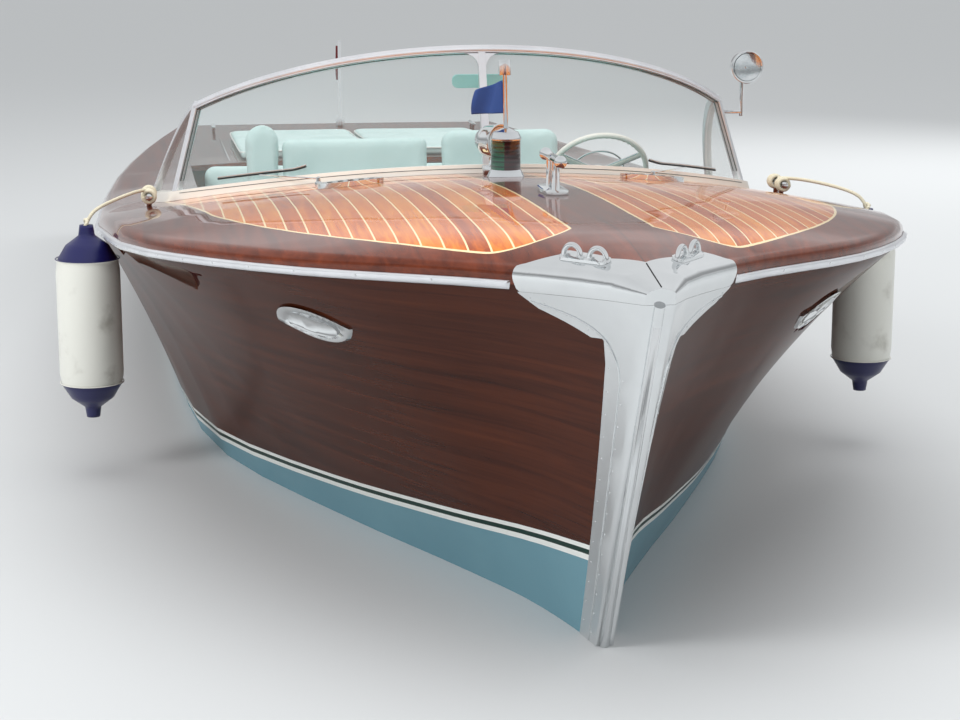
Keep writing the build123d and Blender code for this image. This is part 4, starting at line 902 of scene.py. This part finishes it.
def rounded_slab(half, tall, radius, thick, edge):
    """An upright panel with rounded upper corners, standing on Z = 0 and X = 0, as its own bmesh."""
    bm = bmesh.new()
    rim = [(-half, 0), (half, 0)]
    for centre, start in ((half - radius, 0), (-half + radius, pi / 2)):
        for n in range(7):
            a = start + pi / 2 * n / 6
            rim.append((centre + radius * cos(a), tall - radius + radius * sin(a)))
    face = bm.faces.new([bm.verts.new((0, y, z)) for y, z in rim])
    extrude(bm, [face], (thick, 0, 0))
    face_outwards(bm)
    rims = [e for e in bm.edges if abs(e.verts[0].co.x - e.verts[1].co.x) < 1e-6]
    bevelled(bm, rims, edge, 3)
    return bm


# Pressure in the cushions and backs, and how far a point of them may move
SEAT_PRESSURE, SEAT_CAP = 4.0, 0.006


def seat_cushion(name, low, high, cuts, sewn, voxel):
    """A seat cushion sewn in channels from front to back."""
    bm = cushion_block(low, high, 0.028, cuts)
    grooved(bm, 1, *sewn, 0.008, 0.12)
    puffed(name, bm, "upholstery", "hull", voxel, SEAT_PRESSURE, SEAT_CAP, low[2])


def seat_back(name, slab, place, lean, voxel):
    """A padded back, leaning aft from its foot."""
    bm = rounded_slab(*slab)
    turn = Matrix.Translation(place) @ Matrix.Rotation(-radians(lean), 4, "Y")
    bmesh.ops.transform(bm, matrix=turn, verts=bm.verts)
    puffed(name, bm, "upholstery", "hull", voxel, SEAT_PRESSURE, SEAT_CAP)


def front_seats():
    bases = bmesh.new()
    for low, high in FRONT_BASES:
        block(bases, (-0.055, low + 0.005, SOLE_Z + 0.001), (0.455, high - 0.005, 0.068), 0.008, 2)
    base = finished("front_seat_bases", bases, "interior_wood")
    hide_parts("front_seats")
    for n, (low, high) in enumerate(FRONT_BASES):
        seat_cushion("front_cushion_" + str(n + 1), (0.012, low + 0.006, 0.07), (0.505, high - 0.006, 0.172),
                     (8, 10, 1), (low, high, 6, 0.018), 0.009)
    foot_z = SOLE_Z + 0.2
    for n, (low, high, top, radius) in enumerate(FRONT_BACKS):
        tall = (top - foot_z) / cos(radians(BACK_LEAN))
        slab = ((high - low) / 2 - 0.004, tall - 0.004, radius, BACK_THICK - 0.01, 0.022)
        place = (BACK_X + 0.004, (low + high) / 2, foot_z)
        seat_back("front_back_" + str(n + 1), slab, place, BACK_LEAN, 0.009)


front_seats()


def rear_seat():
    bases = bmesh.new()
    block(bases, (-1.53, -REAR_HALF + 0.02, SOLE_Z + 0.001), (-0.99, REAR_HALF - 0.02, 0.068), 0.01, 2)
    base = finished("rear_seat_base", bases, "interior_wood")
    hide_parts("rear_seat")
    seat_cushion("rear_cushion", (-1.385, -REAR_HALF + 0.01, 0.07), (-0.94, REAR_HALF - 0.01, 0.172),
                 (8, 30, 1), (-REAR_HALF, REAR_HALF, 12, 0.02), 0.012)
    for n, (low, high) in enumerate(((-REAR_HALF + 0.01, -0.004), (0.004, REAR_HALF - 0.01))):
        slab = ((high - low) / 2, 0.6, 0.05, 0.09, 0.024)
        seat_back("rear_back_" + str(n + 1), slab, (-1.485, (low + high) / 2, 0.06), REAR_LEAN, 0.011)


rear_seat()


# The padded roll's inner and outer radius, and its turn to either side in degrees
ROLL_INNER, ROLL_OUTER, ROLL_TURN = 0.868, 0.9295, 57.0


def dash_roll():
    """Padded roll along the dashboard's forward edge, stitched once along its crown."""
    solid = shape_of("dash_roll")
    middle, half = (ROLL_INNER + ROLL_OUTER) / 2, (ROLL_OUTER - ROLL_INNER) / 2 - 0.003
    bm = bmesh.new()
    steps, around = 60, 14
    rings = []
    for n in range(steps + 1):
        turn = radians(-ROLL_TURN + 2 * ROLL_TURN * n / steps)
        point = topmost(solid, CENTRE_X + middle * cos(turn), middle * sin(turn))
        top = point.z if point else 0.88
        ends = min(1.0, 6 * (1 - abs(2 * n / steps - 1)) + 0.35)
        ring = []
        for k in range(around):
            a = tau * k / around
            stitch = 0.004 * max(0.0, 1 - abs(a - pi / 2) / 0.5)
            reach = middle + half * cos(a)
            ring.append(bm.verts.new((CENTRE_X + reach * cos(turn), reach * sin(turn),
                                      top - 0.026 * ends + (0.024 * ends - stitch) * sin(a))))
        rings.append(ring)
    for pair in zip(rings, rings[1:]):
        sides = [side for ring in pair for side in zip(ring, ring[1:] + ring[:1])]
        bmesh.ops.bridge_loops(bm, edges=[bm.edges.get(side) or bm.edges.new(side) for side in sides])
    for ring in (rings[0], rings[-1]):
        bmesh.ops.contextual_create(bm, geom=ring)
    face_outwards(bm)
    made = finished("dash_roll_padding", bm, "aqua_padding", sharp=70)
    finer = made.modifiers.new("finer", "SUBSURF")
    finer.levels = finer.render_levels = 1
    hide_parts("dash_roll")


dash_roll()

# Gauges: y, z, radius
GAUGES = ((0.600, 0.755, 0.052), (0.455, 0.765, 0.038), (0.745, 0.735, 0.038), (0.370, 0.770, 0.026),
          (0.300, 0.775, 0.026))
# Where their faces lie, and the marks of a dial: how many, and from which turn on
DIAL_X, MARKS, MARK_TURN = 0.9907, 11, -130


def gauge_details():
    """Chrome bezels, pale dials with marks, and needles."""
    bezels, dials, marks = bmesh.new(), bmesh.new(), bmesh.new()
    aft = Vector((-1, 0, 0))
    for n, (y, z, radius) in enumerate(GAUGES):
        centre = Vector((DIAL_X, y, z))
        outline = ((0.86, 0.0), (0.90, 0.005), (0.98, 0.004), (1.0, 0.0))
        lathe(bezels, [(radius * share, out) for share, out in outline], centre, aft, 28)
        rod(dials, centre, centre + aft * 0.0015, radius * 0.86, 28)
        face = centre + aft * 0.0016
        for k in range(MARKS):
            a = radians(MARK_TURN - 2 * MARK_TURN * k / (MARKS - 1))
            way = Vector((0, sin(a), cos(a)))
            thick = 0.0006 if k % 2 else 0.0011
            rod(marks, face + way * radius * 0.62, face + way * radius * 0.78, thick, 4)
        a, foot = radians(-90 + 31 * n), centre + aft * 0.003
        rod(marks, foot, foot + Vector((0, sin(a), cos(a))) * radius * 0.6, 0.0015, 6, 0.0004)
        rod(marks, centre, centre + aft * 0.005, 0.003, 10)
    finished("gauge_bezels", bezels, "chrome")
    finished("gauge_dials", dials, "cream_trim")
    finished("gauge_marks", marks, "black_rubber")


gauge_details()

# Helm: wheel in its own plane with its boss's outline, horn ring and grips, and levers beside it
WHEEL_AT, WHEEL_RAKE, WHEEL_R = Vector((0.65, 0.60, 0.855)), 35, 0.19
BOSS = ((0.0, 0.022), (0.020, 0.020), (0.030, 0.013), (0.034, 0.004), (0.034, 0.0))
HORN_R, HORN_OUT, GRIPS, LEVER_Y = 0.105, 0.008, 48, (0.17, 0.22)


def helm():
    way = Vector((-cos(radians(WHEEL_RAKE)), 0, sin(radians(WHEEL_RAKE))))
    side, up = Vector((0, 1, 0)), way.cross(Vector((0, 1, 0)))
    trim = bmesh.new()
    lathe(trim, BOSS, WHEEL_AT, way)
    for n in range(3):
        a = radians(90 + 120 * n)
        out = side * cos(a) + up * sin(a)
        across = way.cross(out)
        for shift in (-0.011, 0.011):
            foot = WHEEL_AT + across * shift
            rod(trim, foot + way * 0.004, foot + out * (WHEEL_R - 0.004), 0.0035, 12)
    finished("wheel_spokes", trim, "chrome", "steering_wheel")
    ring = circle(WHEEL_AT + way * HORN_OUT, side, up, HORN_R, 24)
    line_piece("horn_ring", [ring], 0.004, "chrome", "steering_wheel", closed=True)
    grips = bmesh.new()
    for n in range(GRIPS):
        a = tau * (n + 0.5) / GRIPS
        if abs((n % 16) - 7.5) < 5:
            out = side * cos(a) + up * sin(a)
            ball(grips, WHEEL_AT + out * (WHEEL_R - 0.007), 0.0075, 10, 6)
    finished("wheel_grips", grips, "cream_trim", "steering_wheel")
    levers = bmesh.new()
    for y in LEVER_Y:
        rod(levers, (0.998, y, 0.745), (0.93, y, 0.80), 0.006, 12)
        ball(levers, (0.925, y, 0.805), 0.016, 16, 10)
        lathe(levers, ((0.0, 0.008), (0.018, 0.006), (0.022, 0.0)), (0.9995, y, 0.744), (-1, 0, 0), 20)
    finished("throttle_levers", levers, "chrome")


helm()

# Lamps: place, and turn of the face
LAMPS = ((1.8, 0.0, 1.105, 35), (1.098, 1.05, 1.29, 0))
# How far the lens's edge lies ahead of that place, and the radius of the bead round it
LENS_OUT, BEAD_R = 0.0345, 0.0575
REFLECTOR_OUTLINE = ((0.0, 0.027), (0.02, 0.0285), (0.04, 0.031), (0.0495, LENS_OUT))
LENS_OUTLINE = ((0.0, 0.0362), (0.03, 0.0355), (0.052, LENS_OUT))


def lamp_faces():
    """Mirror-like reflectors with a bulb, behind clear lenses, and each rim's bead."""
    mirror, lens, beads = bmesh.new(), bmesh.new(), []
    for x, y, z, turn in LAMPS:
        way = Vector((cos(radians(turn)), sin(radians(turn)), 0))
        place = Vector((x, y, z))
        lathe(mirror, REFLECTOR_OUTLINE, place, way)
        rod(mirror, place + way * 0.027, place + way * 0.034, 0.006, 12)
        lathe(lens, LENS_OUTLINE, place, way)
        beads.append(circle(place + way * LENS_OUT, way.cross(UP), UP, BEAD_R, 20))
    finished("lamp_reflectors", mirror, "chrome", finish=REFLECTOR)
    finished("lamp_lenses", lens, "screen_glass")
    line_piece("lamp_rims", beads, 0.0028, "chrome", closed=True)


lamp_faces()


def fender_eyes(word, side):
    """The lanyard's knot in the fender's eye, and the ridges where the ends are welded on."""
    y, turns = side * FENDER_Y, [tau * n / 7 for n in range(9)]
    knot = [(FENDER_X + 0.017 * cos(a), y + 0.006 * sin(2 * a), KNOT_Z + 0.014 * sin(a)) for a in turns]
    line_piece("fender_knot_" + word, [knot], 0.0055, "rope")
    ahead, abeam = Vector((1, 0, 0)), Vector((0, 1, 0))
    bands = [circle(Vector((FENDER_X, y, z)), ahead, abeam, FENDER_R, 28) for z in FENDER_NAVY]
    line_piece("fender_bands_" + word, bands, 0.0022, "fender_vinyl", closed=True)


for word, side in SIDES:
    fender_eyes(word, side)


# Flags: a pennant on the bow staff and an ensign at the stern, each from its upper corner on the staff
PENNANT = ((2.0345, -0.007, 1.32), (1.917, -0.0745, 1.279), (1.907, -0.080, 1.203), (2.041, -0.0025, 1.217))
ENSIGN = ((-3.9095, 0, 1.086), (-4.082, 0, 1.08), (-4.082, 0, 0.876), (-3.9095, 0, 0.874))


def flag(name, corners, cuts, wave, node):
    """Cloth between four corners (top hoist, top fly, low fly, low hoist), waved along its length."""
    top_in, top_out, low_out, low_in = (Vector(c) for c in corners)
    bm = bmesh.new()
    bmesh.ops.create_grid(bm, x_segments=cuts, y_segments=cuts, size=0.5)
    side = (top_out - top_in).cross(low_in - top_in).normalized()
    for vert in bm.verts:
        u, v = vert.co.x + 0.5, vert.co.y + 0.5
        place = (top_in * (1 - u) + top_out * u) * v + (low_in * (1 - u) + low_out * u) * (1 - v)
        vert.co = place + side * (wave * u ** 0.5 * sin(7 * u + 2.2 * v) * min(1.0, 4 * u))
    made = finished(name, bm, SLOT_OF[node], sharp=80)
    thick = made.modifiers.new("thickness", "SOLIDIFY")
    thick.thickness = 0.0008
    thick.offset = 0
    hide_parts(node)


flag("bow_flag", PENNANT, 18, 0.012, "bow_pennant")
flag("stern_flag", ENSIGN, 16, 0.008, "stern_ensign")


# Engines, seen when the hatches are up: middle and half width
ENGINE_Y, ENGINE_HALF = 0.41, 0.27
# Manifolds' height, air filter's place and outline, pulleys' heights and radii
MANIFOLD_Z, FILTER_X, PULLEYS = 0.22, -2.1, ((0.02, 0.085), (0.27, 0.055))
FILTER = ((0.0, 0.045), (0.075, 0.045), (0.085, 0.036), (0.085, 0.008), (0.0, 0.008))


def engine_details():
    """Covers, manifolds, air filter, pulleys and belt on each block."""
    covers, pipes, belts = bmesh.new(), bmesh.new(), bmesh.new()
    aft, fore, high = -2.6, -1.75, 0.41
    for y in (ENGINE_Y, -ENGINE_Y):
        for shift in (-0.13, 0.13):
            low_corner = (aft + 0.12, y + shift - 0.07, high - 0.012)
            block(covers, low_corner, (fore - 0.12, y + shift + 0.07, high + 0.018), 0.012)
        lathe(covers, FILTER, (FILTER_X, y, high), UP, 28)
        for way in (-1, 1):
            across = y + way * (ENGINE_HALF + 0.001)
            rod(pipes, (aft + 0.05, across, MANIFOLD_Z), (fore - 0.1, across, MANIFOLD_Z), 0.028)
            for n in range(4):
                x = aft + 0.15 + 0.18 * n
                rod(pipes, (x, across, MANIFOLD_Z), (x, across - way * 0.02, MANIFOLD_Z + 0.08), 0.02, 12)
        for z, radius in PULLEYS:
            outline = ((0.0, 0.022), (0.4, 0.022), (1.0, 0.018), (0.86, 0.011), (1.0, 0.004), (0.0, 0.002))
            lathe(pipes, [(radius * share, out) for share, out in outline], (fore, y, z), (1, 0, 0), 28)
        belt_x = fore + 0.011
        for way in (-1, 1):
            rod(belts, (belt_x, y + way * 0.062, 0.03), (belt_x, y + way * 0.043, 0.27), 0.006, 8)
    finished("engine_covers", covers, "engine_paint")
    finished("engine_pipes", pipes, "chrome")
    finished("engine_belts", belts, "black_rubber")


engine_details()


# Studio lamps: name, place, aim, width, height, power
STUDIO = (("sky", (2.5, 0.0, 9.0), (1.5, 0, 0.5), 9.0, 7.0, 440.0),
          ("key", (7.0, -8.0, 6.0), (1.5, 0, 0.6), 3.5, 3.5, 480.0),
          ("rim", (-7.0, 6.0, 5.0), (-0.5, 0, 0.6), 3.5, 3.5, 260.0))
# Brightness of the surroundings by the upward part of a direction
SKY = ((0.0, 0.7), (0.04, 0.4), (0.14, 0.45), (0.28, 1.0), (0.7, 0.92), (1.0, 0.85))


# Stage: a pale floor at the water's level, open inside the hull, and soft studio light
def floor_and_light():
    bm = bmesh.new()
    edge = [*HULL_AT_WATER, *[(x, -y) for x, y in reversed(HULL_AT_WATER)]]
    inner = [bm.verts.new((x, y, 0)) for x, y in edge]
    outer = [bm.verts.new(Vector((x + 0.3, y * 3, 0)).normalized() * FLOOR_WIDE) for x, y in edge]
    for a in range(len(edge)):
        b = (a + 1) % len(edge)
        bm.faces.new((inner[a], outer[a], outer[b], inner[b]))
    floor = placed("floor", mesh_of("floor", bm))
    f = Finish("floor_paint")
    floor.data.materials.append(f.set(Base_Color=FLOOR_GREY, Roughness=0.6))

    world = bpy.data.worlds.new("studio")
    bpy.context.scene.world = world
    world.use_nodes = True
    tree = world.node_tree
    place = tree.nodes.new("ShaderNodeTexCoord")
    apart = tree.nodes.new("ShaderNodeSeparateXYZ")
    ramp = tree.nodes.new("ShaderNodeValToRGB")
    tree.links.new(place.outputs["Generated"], apart.inputs[0])
    tree.links.new(apart.outputs[2], ramp.inputs[0])
    tree.links.new(ramp.outputs[0], tree.nodes["Background"].inputs["Color"])
    set_stops(ramp.color_ramp, [(at, (0.97 * grey, 0.985 * grey, grey)) for at, grey in SKY])
    tree.nodes["Background"].inputs["Strength"].default_value = 0.85

    for name, place, aim, wide, tall, power in STUDIO:
        lamp = bpy.data.lights.new(name, "AREA")
        lamp.shape = "RECTANGLE"
        lamp.size, lamp.size_y, lamp.energy = wide, tall, power
        holder = placed(name, lamp)
        holder.location = place
        holder.rotation_mode = "QUATERNION"
        holder.rotation_quaternion = (Vector(aim) - Vector(place)).to_track_quat("-Z", "Y")
        holder.visible_glossy = False


def camera():
    view = bpy.data.cameras.new("camera")
    view.lens, view.sensor_width = LENS, SENSOR
    view.clip_end = 200
    holder = placed("camera", view)
    ahead = Vector((-cos(YAW) * cos(PITCH), -sin(YAW) * cos(PITCH), -sin(PITCH)))
    right = ahead.cross(UP).normalized()
    up = right.cross(ahead)
    turn = Matrix.Rotation(-ROLL, 3, ahead)
    right, up = turn @ right, turn @ up
    holder.rotation_mode = "QUATERNION"
    holder.rotation_quaternion = Matrix((right, up, -ahead)).transposed().to_quaternion()
    holder.location = EYE
    bpy.context.scene.camera = holder


floor_and_light()
camera()
bpy.context.scene.view_settings.view_transform = "Standard"
